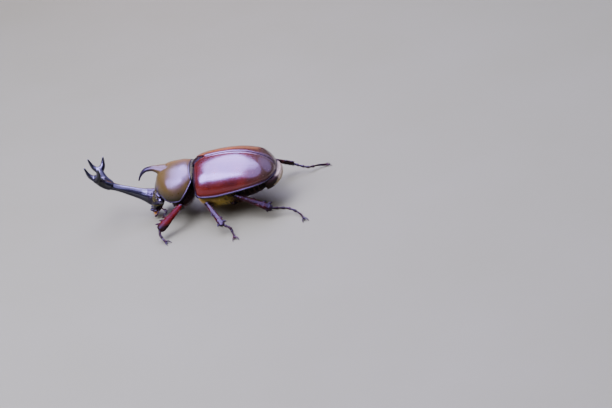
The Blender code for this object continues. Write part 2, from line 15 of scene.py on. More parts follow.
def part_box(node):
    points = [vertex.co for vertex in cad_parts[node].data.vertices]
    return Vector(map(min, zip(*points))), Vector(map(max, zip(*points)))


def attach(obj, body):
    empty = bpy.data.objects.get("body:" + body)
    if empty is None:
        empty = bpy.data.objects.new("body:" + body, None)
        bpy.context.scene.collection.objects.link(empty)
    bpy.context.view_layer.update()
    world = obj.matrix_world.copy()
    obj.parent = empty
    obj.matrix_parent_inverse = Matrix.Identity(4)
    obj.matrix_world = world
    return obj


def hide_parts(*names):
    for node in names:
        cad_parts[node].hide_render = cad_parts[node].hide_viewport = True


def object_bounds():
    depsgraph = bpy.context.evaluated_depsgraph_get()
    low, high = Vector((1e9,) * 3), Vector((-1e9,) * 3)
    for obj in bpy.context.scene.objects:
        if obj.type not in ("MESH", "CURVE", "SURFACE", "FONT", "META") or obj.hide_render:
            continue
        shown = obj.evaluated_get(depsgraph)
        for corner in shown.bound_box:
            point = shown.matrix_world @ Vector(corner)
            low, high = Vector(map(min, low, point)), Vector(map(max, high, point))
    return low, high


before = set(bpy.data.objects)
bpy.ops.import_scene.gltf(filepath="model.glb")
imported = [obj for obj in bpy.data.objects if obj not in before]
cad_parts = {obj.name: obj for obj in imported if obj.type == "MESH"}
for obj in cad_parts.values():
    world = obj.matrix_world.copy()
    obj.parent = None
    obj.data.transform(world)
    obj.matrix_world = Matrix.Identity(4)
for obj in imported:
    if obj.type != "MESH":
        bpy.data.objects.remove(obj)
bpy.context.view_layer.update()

MM = 0.001
BODY = "root"
FRONT_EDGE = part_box("elytron_left")[0].y / MM      # world y of the body frame's y = 0
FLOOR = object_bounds()[0][2] / MM
SIDES = ((1, "left"), (-1, "right"))
rng = np.random.default_rng(7)

# ------------------------ main sizes
GAP = 0.3                          # between the wing cases, and between them and the body
MARGIN_Z = 10.6                    # height of the wing cases' side margin
ELYTRA_LENGTH, ELYTRA_HALF_WIDTH, ELYTRA_RISE, ELYTRA_WALL = 26.0, 12.0, 8.9, 0.9
WIDEST_Y, HIGHEST_Y = 13.0, 10.0   # where the wing cases are widest and highest
DOME_POWER = 2.2
STERNITES = (12.9, 14.1, 15.7, 17.3, 18.8, 20.3, 22.2)      # edges of the belly's rings
RUMP_Y, RUMP_FOOT, RUMP_TOP, RUMP_LINE = 22.5, 6.2, 11.5, 8.0
NECK_Y, NECK_Z, NECK_PITCH = -1.7, 17.4, math.radians(12.0)
PRONOTUM_LENGTH = 13.7
SCUTELLUM_HALF, SCUTELLUM_LENGTH = 2.5, 3.4
THORN_TIP = (1.0, -19.1, 13.9)
HEAD_FOOT, HEAD_TOP, HEAD_HALF_WIDTH = 2.7, 10.2, 3.6
HEAD_CORE = (0, -14.2, 6.2)
EYE, EYE_RADIUS = (3.75, -12.9, 6.9), 1.15
STEM_LENGTH, STEM_PITCH = 14.6, 0.45
FRONT_TINE, REAR_TINE, NOTCH = (3.4, -35.2, 21.6), (4.9, -30.5, 21.2), (3.5, -32.5, 18.1)
FOOT_SIZE, FOOT_UP = 0.46, (0.1, 0.1, 1)
FOOT_JOINTS = (0.0, 0.17, 0.32, 0.47, 0.62, 1.0)
CLAW_SPREAD, CLAW_REACH = 0.95, 1.6


def smooth(*knots):
    """Monotone cubic through (t, value) knots, flat beyond the ends; takes arrays."""
    t, v = np.array(knots, float).T
    step = np.diff(t)
    slope = np.diff(v) / step
    m = np.zeros(len(t))
    m[0], m[-1] = slope[0], slope[-1]
    for i in range(1, len(t) - 1):
        if slope[i - 1] * slope[i] > 0:
            w1, w2 = 2 * step[i] + step[i - 1], step[i] + 2 * step[i - 1]
            m[i] = (w1 + w2) / (w1 / slope[i - 1] + w2 / slope[i])

    def value(x):
        x = np.clip(x, t[0], t[-1])
        i = np.clip(np.searchsorted(t, x, side="right") - 1, 0, len(t) - 2)
        u = (x - t[i]) / step[i]
        return ((2 * u ** 3 - 3 * u ** 2 + 1) * v[i] + (u ** 3 - 2 * u ** 2 + u) * step[i] * m[i]
                + (3 * u ** 2 - 2 * u ** 3) * v[i + 1] + (u ** 3 - u ** 2) * step[i] * m[i + 1])
    return value


def bell(x, width):
    """Soft bump, 1 at x = 0 and gone a few widths away."""
    return np.exp(-(x / width) ** 2)


def share(x):
    return np.clip(x, 0, 1)


def unit(v):
    v = np.asarray(v, float)
    return v / np.maximum(np.linalg.norm(v, axis=-1, keepdims=True), 1e-12)


def steps(count):
    """Even steps from 0 to 1."""
    return np.linspace(0, 1, count)


def around(count):
    """Angles all round a ring."""
    return 2 * np.pi * np.arange(count) / count


def together(*coordinates):
    """Points from coordinates that broadcast to each other."""
    return np.stack(np.broadcast_arrays(*coordinates), axis=-1)


def signed_power(x, power):
    return np.sign(x) * np.abs(x) ** power


# ------------------------ mesh tools
class Form:
    """Points in millimetres, faces and a shade value for each point, which grow into one mesh."""

    def __init__(self):
        self.points, self.faces, self.shade, self.count = [], [], [], 0

    def add(self, points, faces, shade=0.0):
        points = np.asarray(points, float).reshape(-1, 3)
        self.faces += [tuple(int(i) + self.count for i in f) for f in faces]
        self.points.append(points)
        self.shade.append(np.broadcast_to(np.asarray(shade, float), (len(points),)))
        self.count += len(points)
        return self

    def rings(self, points, shade=0.0):
        """Rings of points as a skin, closed at both ends by fans."""
        points = np.asarray(points, float)
        rows, cols = points.shape[:2]
        index = np.arange(rows * cols).reshape(rows, cols)
        after = np.roll(index, -1, axis=1)
        faces = np.stack([index[:-1], after[:-1], after[1:], index[1:]], axis=-1).reshape(-1, 4).tolist()
        for i, j in zip(range(cols), after[0]):
            faces.append((index[0, j], index[0, i], rows * cols))
            faces.append((index[-1, i], index[-1, j], rows * cols + 1))
        shade = np.broadcast_to(np.asarray(shade, float), (rows, cols)).reshape(-1)
        points = np.vstack([points.reshape(-1, 3), points[0].mean(0), points[-1].mean(0)])
        return self.add(points, faces, np.append(shade, [shade[0], shade[-1]]))

    def tube(self, *shape, shade=0.0, **more):
        return self.rings(tube(*shape, **more), shade)

    def array(self):
        return np.vstack(self.points)


def face_outwards(mesh):
    bm = bmesh.new()
    bm.from_mesh(mesh)
    bmesh.ops.recalc_face_normals(bm, faces=bm.faces)
    bm.to_mesh(mesh)
    bm.free()


def build_mesh(name, form, recalc=True):
    mesh = bpy.data.meshes.new(name)
    mesh.from_pydata(((form.array() + (0.0, FRONT_EDGE, FLOOR)) * MM).tolist(), [], form.faces)
    if recalc:
        face_outwards(mesh)
    shade = mesh.attributes.new("shade", "FLOAT", "POINT")
    shade.data.foreach_set("value", np.concatenate(form.shade).astype(np.float32))
    mesh.shade_smooth()
    return mesh


def piece(name, form, look, nodes=(), recalc=True, sharp=None):
    """One visible piece, in place, riding on the body and standing for its CAD nodes.

    Its look is a material and the name of a material slot, which is not used."""
    mesh = build_mesh(name, form, recalc)
    material, slot = look
    mesh.materials.append(material)
    if sharp:
        mesh.set_sharp_from_angle(angle=math.radians(sharp))
    obj = bpy.data.objects.new(name, mesh)
    bpy.context.scene.collection.objects.link(obj)
    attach(obj, BODY)
    if nodes:
        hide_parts(*nodes)
    return obj


def curve_points(knots, count, side=1):
    """Points spread evenly along a smooth curve through 3-D knots; side -1 mirrors them."""
    knots = np.array(knots, float) * (side, 1, 1)
    run = np.concatenate([[0], np.cumsum(np.linalg.norm(np.diff(knots, axis=0), axis=1))])
    t = np.linspace(0, run[-1], count)
    return np.stack([smooth(*zip(run, knots[:, k]))(t) for k in range(3)], axis=1)


def frames(path, up):
    """Directions ahead, across and lift along a path, turning as little as they can."""
    path, lift = np.asarray(path, float), np.array(up, float)
    ahead = unit(np.gradient(path, axis=0))
    across, lifts = np.zeros_like(path), np.zeros_like(path)
    for i, a in enumerate(ahead):
        c = np.cross(a, lift)
        across[i] = c / np.linalg.norm(c)
        lift = np.cross(across[i], a)
        lifts[i] = lift
    return ahead, across, lifts


def tube(path, wide, high, sides, up=(0.0, 0.0, 1.0), section=None):
    """Rings along a path; section(angle, t) scales the ellipse, and the ends are rounded."""
    path = np.asarray(path, float)
    n = len(path)
    wide, high = np.broadcast_to(wide, n).astype(float), np.broadcast_to(high, n).astype(float)
    ahead, across, lift = frames(path, up)
    w = around(sides)
    scale = section(w[None, :], steps(n)[:, None]) if section else np.ones((n, sides))
    rings = (path[:, None] + across[:, None] * (wide[:, None] * scale * np.cos(w))[..., None]
             + lift[:, None] * (high[:, None] * scale * np.sin(w))[..., None])
    return np.concatenate([end_rings(rings[0], path[0], -ahead[0], high[0])[::-1], rings,
                           end_rings(rings[-1], path[-1], ahead[-1], high[-1])])


def end_rings(ring, centre, direction, radius):
    """Three shrinking rings that round off the end of a tube."""
    out = []
    for k in (1, 2, 3):
        a = 0.5 * math.pi * k / 3.6
        out.append(centre + (ring - centre) * math.cos(a) + direction * radius * 0.7 * math.sin(a))
    return np.array(out)


def ellipsoid(centre, radii, segments, rows, turn=0.0):
    """Rings of an ellipsoid turned about the vertical by some degrees."""
    v, w, a = np.pi * (np.arange(rows) + 0.5) / rows, around(segments), math.radians(turn)
    ball = together(np.sin(v)[:, None] * np.cos(w), np.sin(v)[:, None] * np.sin(w), np.cos(v)[:, None])
    spin = [[math.cos(a), -math.sin(a), 0], [math.sin(a), math.cos(a), 0], [0, 0, 1]]
    return ball * radii @ np.array(spin).T + centre


def settle(points, faces, moves, weight=1.0):
    """Move each point by each of some shares of the way to the middle of its neighbours."""
    quads = np.array(faces)
    a, b = quads.reshape(-1), np.roll(quads, -1, 1).reshape(-1)
    degree = np.bincount(a, minlength=len(points)) + np.bincount(b, minlength=len(points))
    weight = np.broadcast_to(weight, len(points))[:, None]
    for move in moves:
        total = np.zeros_like(points)
        for axis in range(3):
            total[:, axis] = (np.bincount(a, points[b, axis], len(points))
                              + np.bincount(b, points[a, axis], len(points)))
        points = points + move * weight * (total / degree[:, None] - points)
    return points


KEEP_SIZE = (0.5, -0.52)           # a pair of moves that smooths without shrinking


def fillet(points, faces, centre, width, rounds):
    """Fill the crease where bodies meet near a place, wearing nothing down."""
    near = bell(np.linalg.norm(points - centre, axis=1), width)
    quads = np.array(faces)
    for _ in range(rounds):
        corners = points[quads]
        flat = np.cross(corners[:, 2] - corners[:, 0], corners[:, 3] - corners[:, 1])
        normals = unit(np.stack([np.bincount(quads.reshape(-1), np.repeat(flat[:, k], 4), len(points))
                                 for k in range(3)], 1))
        moved = settle(points, faces, (0.5,), near) - points
        points = points + normals * np.maximum((moved * normals).sum(1), 0.0)[:, None]
    return points


def fuse(form, voxel, rounds):
    """Run the overlapping bodies of a form into one smooth skin. Returns points and faces."""
    mesh = bpy.data.meshes.new("fuse")
    mesh.from_pydata(form.array().tolist(), [], form.faces)
    face_outwards(mesh)
    obj = bpy.data.objects.new("fuse", mesh)
    bpy.context.scene.collection.objects.link(obj)
    mod = obj.modifiers.new("Skin", "REMESH")
    mod.mode = "VOXEL"
    mod.voxel_size = voxel
    bpy.context.view_layer.update()
    done = obj.evaluated_get(bpy.context.evaluated_depsgraph_get()).to_mesh()
    points = np.empty(len(done.vertices) * 3)
    done.vertices.foreach_get("co", points)
    faces = [tuple(p.vertices) for p in done.polygons]
    bpy.data.objects.remove(obj, do_unlink=True)
    bpy.data.meshes.remove(mesh)
    return settle(points.reshape(-1, 3), faces, KEEP_SIZE * rounds), faces


def split_pieces(form, second, *parts):
    """Part one skin in two, keeping its normals; second(centres) is true for faces of the second.

    Each part is a name, a look and a CAD node."""
    mesh = build_mesh("whole", form)
    normals = np.empty(len(mesh.vertices) * 3)
    mesh.vertices.foreach_get("normal", normals)
    normals = normals.reshape(-1, 3)
    shades, points = np.concatenate(form.shade), form.array()
    faces = [tuple(p.vertices) for p in mesh.polygons]
    bpy.data.meshes.remove(mesh)
    chosen = second(np.array([points[list(f)].mean(0) for f in faces]))
    for k, (name, look, node) in enumerate(parts):
        own = [f for f, c in zip(faces, chosen) if c == k]
        used = sorted({i for f in own for i in f})
        place = {old: new for new, old in enumerate(used)}
        part = Form().add(points[used], [tuple(place[i] for i in f) for f in own], shades[used])
        obj = piece(name, part, look, [node], recalc=False)
        obj.data.normals_split_custom_set_from_vertices(normals[used].tolist())


# ------------------------ materials
SHEEN = (0.95, 0.76, 1.0, 1.0)     # cool cast of the shell's reflections
STEEL_SHEEN = (1.0, 1.0, 1.0, 1.0)       # the horn's, greyer
LEG_SHEEN = (0.96, 0.86, 1.0, 1.0)
FULL_SHINE, PAINTED_SHADE_SHINE = 0.5, 0.12      # specular level of the shell, and the lower one where it faces down, which is painted shade
FACE_DOWN, FACE_SIDE = -0.35, 0.25       # between these slants of the skin its shine grows


def rgba(thousandths):
    return (*(c / 1000 for c in thousandths), 1.0)


class Paint:
    """A material and the tools that build its nodes, which take plain values or other nodes' outputs.

    Colours are in thousandths of red, green and blue."""

    def __init__(self, name):
        self.material = bpy.data.materials.new(name)
        self.material.use_nodes = True
        self.tree = self.material.node_tree
        coords = self.node("TexCoord", {}, "Object")
        self.place = self.node("Mapping", {"Vector": coords, "Scale": [1 / MM] * 3})      # millimetres
        self.shade = self.node("Attribute", {}, "Fac", attribute_name="shade")

    def feed(self, socket, value):
        if isinstance(value, bpy.types.NodeSocket):
            self.tree.links.new(value, socket)
        else:
            socket.default_value = value

    def node(self, kind, inputs, output=0, **settings):
        node = self.tree.nodes.new("ShaderNode" + kind)
        for key, value in settings.items():
            setattr(node, key, value)
        for key, value in inputs.items():
            self.feed(node.inputs[key], value)
        return node.outputs[output]

    def noise(self, scale, detail):
        return self.node("TexNoise", {"Vector": self.place, "Scale": scale, "Detail": detail,
                                      "Roughness": 0.55}, "Fac")

    def axis(self, vector, letter):
        return self.node("SeparateXYZ", {"Vector": vector}, letter)

    def between(self, value, low, high, first=0.0, last=1.0):
        """Map low to high onto first to last."""
        return self.node("MapRange", {"Value": value, "From Min": low, "From Max": high, "To Min": first,
                                      "To Max": last}, "Result")

    def ramp(self, value, *stops):
        colour = self.node("ValToRGB", {"Fac": value}, "Color")
        bar = colour.node.color_ramp.elements
        while len(bar) < len(stops):
            bar.new(0.5)
        for element, (place, paint) in zip(bar, stops):
            element.position, element.color = place, rgba(paint)
        return colour

    def mixed(self, factor, *colours):
        node = self.node("Mix", {"Factor": factor}, data_type="RGBA").node
        sockets = [s for s in node.inputs if s.type == "RGBA"]
        for socket, colour in zip(sockets, colours):
            self.feed(socket, rgba(colour) if isinstance(colour, tuple) else colour)
        return [s for s in node.outputs if s.type == "RGBA"][0]

    def pits(self, scale, size=0.35):
        """Small round pits, 1 between them and 0 at their middles."""
        far = self.node("TexVoronoi", {"Vector": self.place, "Scale": scale}, "Distance")
        return self.between(far, 0.0, size)

    def bump(self, height, strength, depth, **after):
        inputs = {"Height": height, "Strength": strength, "Distance": depth * MM, **after}
        return self.node("Bump", inputs, "Normal")

    def finish(self, **inputs):
        """Feed the shader's inputs, named with _ for each space."""
        for key, value in inputs.items():
            self.feed(self.tree.nodes["Principled BSDF"].inputs[key.replace("_", " ")], value)
        return self.material


def cuticle(name, colours, rim, roughness, ior, coat, pit, mottle, relief=0.25, zones=(), sheen=SHEEN):
    """Polished shell: mottled colour, tinted zones, dark rims, fine pits and a glossy coat.

    colours run from dark to light, pit is the pits' number to a millimetre and their depth, and
    mottle is the scale of the mottling. A zone is an axis, where along it the zone begins and is
    full, its tint and its shine."""
    paint = Paint(name)
    colour = paint.ramp(paint.noise(mottle, 5.0), *zip((0.30, 0.52, 0.78), colours))
    # Painted shade: the shine drops where the skin faces down, so the undersides reflect little of the
    # floor.
    facing = paint.axis(paint.node("NewGeometry", {}, "Normal"), "Z")
    shine = paint.between(facing, FACE_DOWN, FACE_SIDE, PAINTED_SHADE_SHINE, FULL_SHINE)
    for letter, begin, full, tint, level in zones:
        place = paint.axis(paint.place, letter)
        colour = paint.mixed(paint.between(place, begin, full), colour, tint)
        dimmed = paint.between(place, begin, full, FULL_SHINE, level)
        shine = paint.node("Math", {0: shine, 1: dimmed}, operation="MINIMUM")
    number, depth = pit
    fade = paint.between(paint.shade, 0.05, 0.5, relief, 0.0)
    pitted = paint.bump(paint.pits(number), fade, depth)
    return paint.finish(
        Base_Color=paint.mixed(paint.shade, colour, rim), Specular_IOR_Level=shine, IOR=ior,
        Roughness=paint.between(paint.noise(1.7, 6.0), 0.3, 0.7, *roughness), Specular_Tint=sheen,
        Coat_Weight=coat, Coat_Roughness=0.1,
        Normal=paint.bump(paint.noise(6.0, 4.0), relief / 2, depth, Normal=pitted))


def hair(name, root, tip, roughness=0.5):
    """Hair that pales from root to tip, each strand a little different."""
    paint = Paint(name)
    patch = paint.ramp(paint.noise(1.2, 2.0), (0.3, tuple(0.6 * c for c in root)), (0.7, tip))
    colour = paint.mixed(0.35, paint.mixed(paint.shade, root, tip), patch)
    return paint.finish(Base_Color=colour, Roughness=roughness), "mouth_rust"


def eye_facets():
    paint = Paint("eye_facets")
    colour = paint.ramp(paint.noise(1.5, 2.0), (0.3, (2, 2, 3)), (0.7, (12, 9, 10)))
    return paint.finish(Base_Color=colour, Roughness=0.12, IOR=1.8, Coat_Weight=0.8, Coat_Roughness=0.04,
                        Specular_Tint=SHEEN, Normal=paint.bump(paint.pits(14.0, 0.5), 0.5, 0.012))


def floor_material():
    paint = Paint("studio_floor")
    colour = paint.ramp(paint.noise(0.02, 3.0), (0.3, (140, 153, 50)), (0.7, (148, 161, 56)))
    return paint.finish(Base_Color=colour, Roughness=0.75)


def zone_y(begin, full, tint, shine):
    return "Y", FRONT_EDGE + begin, FRONT_EDGE + full, tint, shine


def zone_z(begin, full, tint, shine):
    return "Z", FLOOR + begin, FLOOR + full, tint, shine


ELYTRA = cuticle(
    "elytra_cuticle", [(28, 3, 1), (62, 6, 1), (100, 16, 3)],
    rim=(5, 3, 3), roughness=(0.18, 0.28), ior=1.80, coat=0.2, pit=(2.6, 0.010), mottle=0.22,
    relief=0.08, zones=[zone_y(15.5, 22.5, (36, 20, 8), 0.5),
                        # Painted light and shade: low on the sides the wing cases turn a brighter red
                        # and lose most of their shine, so they show a lit red flank and none of the
                        # floor's reflection.
                        zone_z(13.4, 10.8, (90, 7, 1), 0.10)]), "elytra_mahogany"
PRONOTUM = cuticle(
    "pronotum_cuticle", [(26, 14, 1), (56, 35, 3), (92, 62, 6)],
    rim=(12, 9, 8), roughness=(0.26, 0.38), ior=1.78, coat=0.08, pit=(2.6, 0.01), mottle=0.22,
    # The front half is golden brown, the shield's own colour, and its shine is cut so that no highlight
    # shows there, which is painted shade.
    relief=0.15, zones=[zone_y(-4.6, -8.0, (66, 46, 7), 0.18),
                        # Painted shade: the lower part of the shield turns almost black and loses its
                        # shine.
                        zone_z(12.8, 9.6, (12, 12, 1), 0.10),
                        zone_y(-12.8, -15.6, (10, 8, 9), 0.16)])
HORN = cuticle(
    "horn_cuticle", [(1, 1, 2), (3, 3, 4), (6, 5, 6)],
    rim=(4, 4, 3), roughness=(0.16, 0.26), ior=1.8, coat=0.05, pit=(3.0, 0.012), mottle=0.5,
    relief=0.15, sheen=STEEL_SHEEN), "horn_black"
HEAD = cuticle(
    "head_cuticle", [(2, 2, 2), (5, 4, 3), (12, 9, 6)],
    rim=(6, 5, 4), roughness=(0.24, 0.40), ior=1.5, coat=0.3, pit=(3.2, 0.04), mottle=0.6,
    relief=0.6), "shell_black"
SHELL = cuticle(
    "shell_cuticle", [(2, 1, 1), (6, 2, 1), (18, 4, 2)],
    rim=(2, 1, 1), roughness=(0.34, 0.50), ior=1.25, coat=0.0, pit=(2.4, 0.03),
    mottle=0.45), "shell_black"
LEG_RED = cuticle(
    "red_leg_cuticle", [(22, 2, 1), (58, 3, 1), (95, 10, 2)],
    rim=(12, 5, 3), roughness=(0.14, 0.26), ior=1.16, coat=0.0, pit=(2.6, 0.03), mottle=0.45,
    relief=0.6, zones=[zone_z(5.6, 4.3, (7, 4, 2), 0.5)]), "leg_red"
LEG_DARK = cuticle(
    "dark_leg_cuticle", [(2, 1, 1), (13, 2, 1), (60, 5, 2)],
    rim=(3, 2, 2), roughness=(0.10, 0.18), ior=1.36, coat=0.02, pit=(1.4, 0.09), mottle=0.6,
    relief=0.9, sheen=LEG_SHEEN), "leg_dark"
VELVET = cuticle(
    "rump_velvet", [(160, 130, 55), (240, 200, 90), (340, 290, 140)],
    rim=(60, 45, 25), roughness=(0.55, 0.70), ior=1.4, coat=0.0, pit=(5.0, 0.02), mottle=0.8,
    # Painted shade: the plate turns dark brown towards its front, its foot and its sides, and loses its
    # shine there, so only the band facing back stays pale.
    relief=0.6, zones=[zone_y(RUMP_Y + 3.4, RUMP_Y + 1.0, (22, 10, 4), 0.15),
                       zone_z(9.4, 8.0, (10, 7, 3), 0.15),
                       ("X", 4.6, 6.2, (16, 8, 4), 0.15),
                       ("X", -4.6, -6.2, (16, 8, 4), 0.15)]), "pronotum_bronze"
EYE_BLACK = eye_facets(), "eye_black"
RUST = cuticle(
    "mouth_cuticle", [(6, 3, 2), (18, 7, 3), (50, 20, 7)],
    rim=(6, 3, 2), roughness=(0.3, 0.5), ior=1.35, coat=0.0, pit=(3.0, 0.02), mottle=0.8)
GOLD_HAIR = hair("gold_hair", (140, 130, 10), (600, 560, 60))
# The breast hair is golden, its own colour, painted brighter than that as painted light, so that it
# shows lit in the shade under the wing cases.
AMBER_HAIR = hair("amber_hair", (260, 170, 12), (780, 560, 60))
OLIVE_HAIR = hair("olive_hair", (60, 55, 15), (200, 190, 55))
PALE_HAIR = hair("pale_hair", (280, 230, 90), (700, 600, 300))
RUST_HAIR = hair("rust_hair", (30, 10, 4), (120, 45, 15))
BRUSH_HAIR = hair("mouth_brush_hair", (950, 270, 5), (1000, 520, 20), 0.45)


# ------------------------ hair
PATCH = 0.003                      # width of each strand's own place in the map


def strands(roots, ways, lengths, width, bends, uv, rows=4):
    """Tapering three-sided hairs; uv is each root's place on the unwrap of the skin below."""
    ways, n = unit(ways), len(roots)
    lengths = lengths[:, None]
    askew = (0.013, 0.021, 0.017)      # so that no bend lies along its strand
    side = unit(np.cross(ways, unit(bends + askew)))
    other = np.cross(ways, side)
    points, shade, maps, faces = [], [], [], []
    for r in range(rows):
        t = r / rows
        centre = roots + ways * lengths * t + bends * lengths * t * t
        for k in range(3):
            a = 2 * math.pi * k / 3
            points.append(centre + (side * math.cos(a) + other * math.sin(a)) * (width * (1 - t) ** 0.8))
            shade.append(np.full(n, t))
            maps.append(uv + PATCH * (np.array([t, k / 3.0]) - 0.5))
    points.append(roots + ways * lengths + bends * lengths)
    shade.append(np.ones(n))
    maps.append(uv + PATCH / 2)
    tip, ring = rows * 3, ((0, 1), (1, 2), (2, 0))
    pattern = [(r + k, r + j, r + 3 + j, r + 3 + k) for r in range(0, tip - 3, 3) for k, j in ring]
    pattern += [(tip - 3 + k, tip - 3 + j, tip) for k, j in ring]
    base = (np.arange(n) * (tip + 1))[:, None]
    for corners in pattern:
        faces += (base + np.array(corners)).tolist()
    return (np.stack(points, axis=1).reshape(-1, 3), faces, np.stack(shade, axis=1).reshape(-1),
            np.stack(maps, axis=1).reshape(-1, 2))


class Coat:
    """Strands gathered into one joined hair mesh with its OFBake map."""

    def __init__(self):
        self.form, self.maps = Form(), []

    def add(self, *args, **kwargs):
        points, faces, shade, maps = strands(*args, **kwargs)
        self.form.add(points, faces, shade)
        self.maps.append(maps)
        return self

    def finish(self, name, look):
        obj = piece(name, self.form, look, recalc=False)
        layer = obj.data.uv_layers.new(name="OFBake")
        corner = np.empty(len(obj.data.loops), np.int32)
        obj.data.loops.foreach_get("vertex_index", corner)
        layer.data.foreach_set("uv", np.vstack(self.maps)[corner].reshape(-1).astype(np.float32))


def clumped(ways, group):
    """Turn neighbouring strands towards each other, a few to a tuft."""
    out = np.array(ways, float)
    for start in range(0, len(out), group):
        mean = out[start:start + group].mean(0)
        out[start:start + group] = out[start:start + group] * 0.5 + mean * 0.5
    return out


def scatter(n, spread):
    return rng.normal(0, spread, (n, 3))


# ------------------------ hind body
def elytra_width(y):
    front = 1 - 0.06 * (1 - y / WIDEST_Y) ** 2 - 0.12 * np.exp(-y / 1.2)
    t = share((y - WIDEST_Y) / (ELYTRA_LENGTH - WIDEST_Y))
    return ELYTRA_HALF_WIDTH * np.where(y < WIDEST_Y, front, (1 - t ** 3.0) ** (1 / 2.4))


margin_line = smooth((0, MARGIN_Z - 0.3), (1.5, MARGIN_Z - 0.8), (5, MARGIN_Z - 0.8), (12, MARGIN_Z),
                     (19, MARGIN_Z + 1.0), (24, MARGIN_Z + 1.4), (26, MARGIN_Z + 1.5))


def elytra_rise(y):
    """Height of the dome over its own side margin."""
    full = MARGIN_Z + ELYTRA_RISE + 0.1 - margin_line(y)
    front = 1 - 0.12 * (1 - y / HIGHEST_Y) ** 2 - 0.05 * np.exp(-y / 0.8)
    t = share((y - HIGHEST_Y) / (ELYTRA_LENGTH - HIGHEST_Y))
    return full * np.where(y < HIGHEST_Y, front, (1 - t ** 2.3) ** (1 / 1.7))


def dome_height(x, half_width, rise):
    ratio = share(np.abs(x) / np.maximum(half_width, 1e-6))
    return rise * (1 - ratio ** DOME_POWER) ** (1 / DOME_POWER)


def scutellum_half(y):
    return np.maximum(SCUTELLUM_HALF * (1 - np.maximum(y, 0.0) / SCUTELLUM_LENGTH), 0.0)


def elytra_stations():
    """Stations close together where the outline turns: at the base and round the rear."""
    first = WIDEST_Y * np.linspace(0, 1, 46, endpoint=False) ** 1.35
    w = np.sin(0.5 * np.pi * np.linspace(1, 0.012, 70))
    return np.concatenate([first, WIDEST_Y + (ELYTRA_LENGTH - WIDEST_Y) * (1 - w ** 2.4) ** (1 / 3)])


def elytron_points(y, across, depth):
    """Points of one wing case at a depth under its polished surface, for the left side."""
    start = GAP / 2 + scutellum_half(y)
    wide = elytra_width(y) * ((ELYTRA_HALF_WIDTH - depth) / ELYTRA_HALF_WIDTH)
    rise = elytra_rise(y) * ((ELYTRA_RISE - depth) / ELYTRA_RISE)
    x = start + np.maximum(wide - start, 0.02) * np.sin(0.5 * np.pi * across) ** (2 / DOME_POWER)
    z = margin_line(y) + dome_height(x, wide, rise)
    return together(x, y * ((ELYTRA_LENGTH - depth) / ELYTRA_LENGTH), z)


def elytron_relief(y, across, flat):
    """Depth under the dome: rounded rims, sutural bead and groove, shoulder and end bumps."""
    x = flat[..., 0]
    from_suture = x - (GAP / 2 + scutellum_half(y))
    over_margin = flat[..., 2] - margin_line(y)
    front, seam = share(y / 0.6), share(from_suture / 0.16)
    rounded = np.minimum(np.sqrt(1 - (1 - front) ** 2), 0.62 + 0.38 * np.sqrt(1 - (1 - seam) ** 2))
    depth = ELYTRA_WALL * (1 - rounded)
    bead = 0.10 * bell(from_suture - 1.0, 0.2) - 0.05 * bell(from_suture - 0.5, 0.25)
    depth += share((y - 2.5) / 2.0) * bead
    depth += 0.17 * bell(over_margin - 0.45, 0.28)
    depth += 0.05 * bell(y - 0.95, 0.22) * (1 - bell(over_margin, 1.0))
    depth -= 0.12 * bell(y - 3.6, 1.9) * bell(x - 9.0, 1.5)
    depth -= 0.26 * bell(y - 21.4, 1.9) * bell(x - 6.6, 1.9)
    for place in (0.26, 0.44, 0.62):
        depth += 0.016 * bell(across - place, 0.012) * share((23 - y) / 6)
    rim = np.maximum(np.maximum(bell(from_suture, 0.34), bell(over_margin, 0.4)), 0.8 * bell(y, 0.45))
    return depth, rim


def elytron(side, word):
    """One wing case: its polished skin, the rolled lip along its margin and its hollow inside."""
    y, across = elytra_stations()[:, None], steps(84)[None, :]
    depth, rim = elytron_relief(y, across, elytron_points(y, across, 0.0))
    outer = elytron_points(y, across, depth)
    inner = elytron_points(y, across[:, ::-4], ELYTRA_WALL)
    wide = elytra_width(y[:, 0])
    out = unit(together(np.ones_like(wide), -np.gradient(wide, y[:, 0])))
    turn = np.radians(np.linspace(62, -125, 9))[None, :]
    lip_radius = 0.30 * np.clip(wide / 3.0, 0.25, 1)[:, None]
    reach = lip_radius * np.cos(turn) - 0.10
    lip = together(wide[:, None] + out[:, :1] * reach, y + out[:, 1:] * reach,
                   margin_line(y) - 0.14 + lip_radius * np.sin(turn))
    rings = np.concatenate([outer, lip, inner], axis=1)
    shade = np.concatenate([rim, np.ones(lip.shape[:2]), np.full(inner.shape[:2], 0.6)], axis=1)
    rings[..., 0] *= side
    piece("elytron_" + word + "_case", Form().rings(rings, shade), ELYTRA, ["elytron_" + word])


def scutellum():
    """The small bevelled triangle between the bases of the wing cases."""
    y, across = np.linspace(-0.6, SCUTELLUM_LENGTH - 0.12, 34)[:, None], np.linspace(-1, 1, 31)[None, :]
    half = np.maximum(scutellum_half(y) - 0.15, 0.10)
    edge = np.minimum(1 - np.abs(across), (SCUTELLUM_LENGTH - y) / 4) * half
    behind = np.maximum(y, 0.0)
    rise = elytra_rise(behind)
    front = share(-y / 0.6) * 0.35

    def layer(top):
        z = margin_line(behind) + dome_height(half * across, elytra_width(behind), top)
        return together(half * across, y, z)
    upper = layer(rise - front - 0.22 * bell(edge, 0.16) - 0.12 * bell(edge - 0.42, 0.14))
    rings = np.concatenate([upper, layer(rise - 0.8 - front)[:, ::-1]], axis=1)
    shade = np.tile(bell(edge, 0.3), 2)
    piece("scutellum_plate", Form().rings(rings, shade), SHELL, ["scutellum"], sharp=50)


belly_line = smooth((-0.7, 5.6), (3.0, 4.4), (9.0, 4.2), (15.0, 4.4), (19.0, 5.2), (22.0, 6.4))


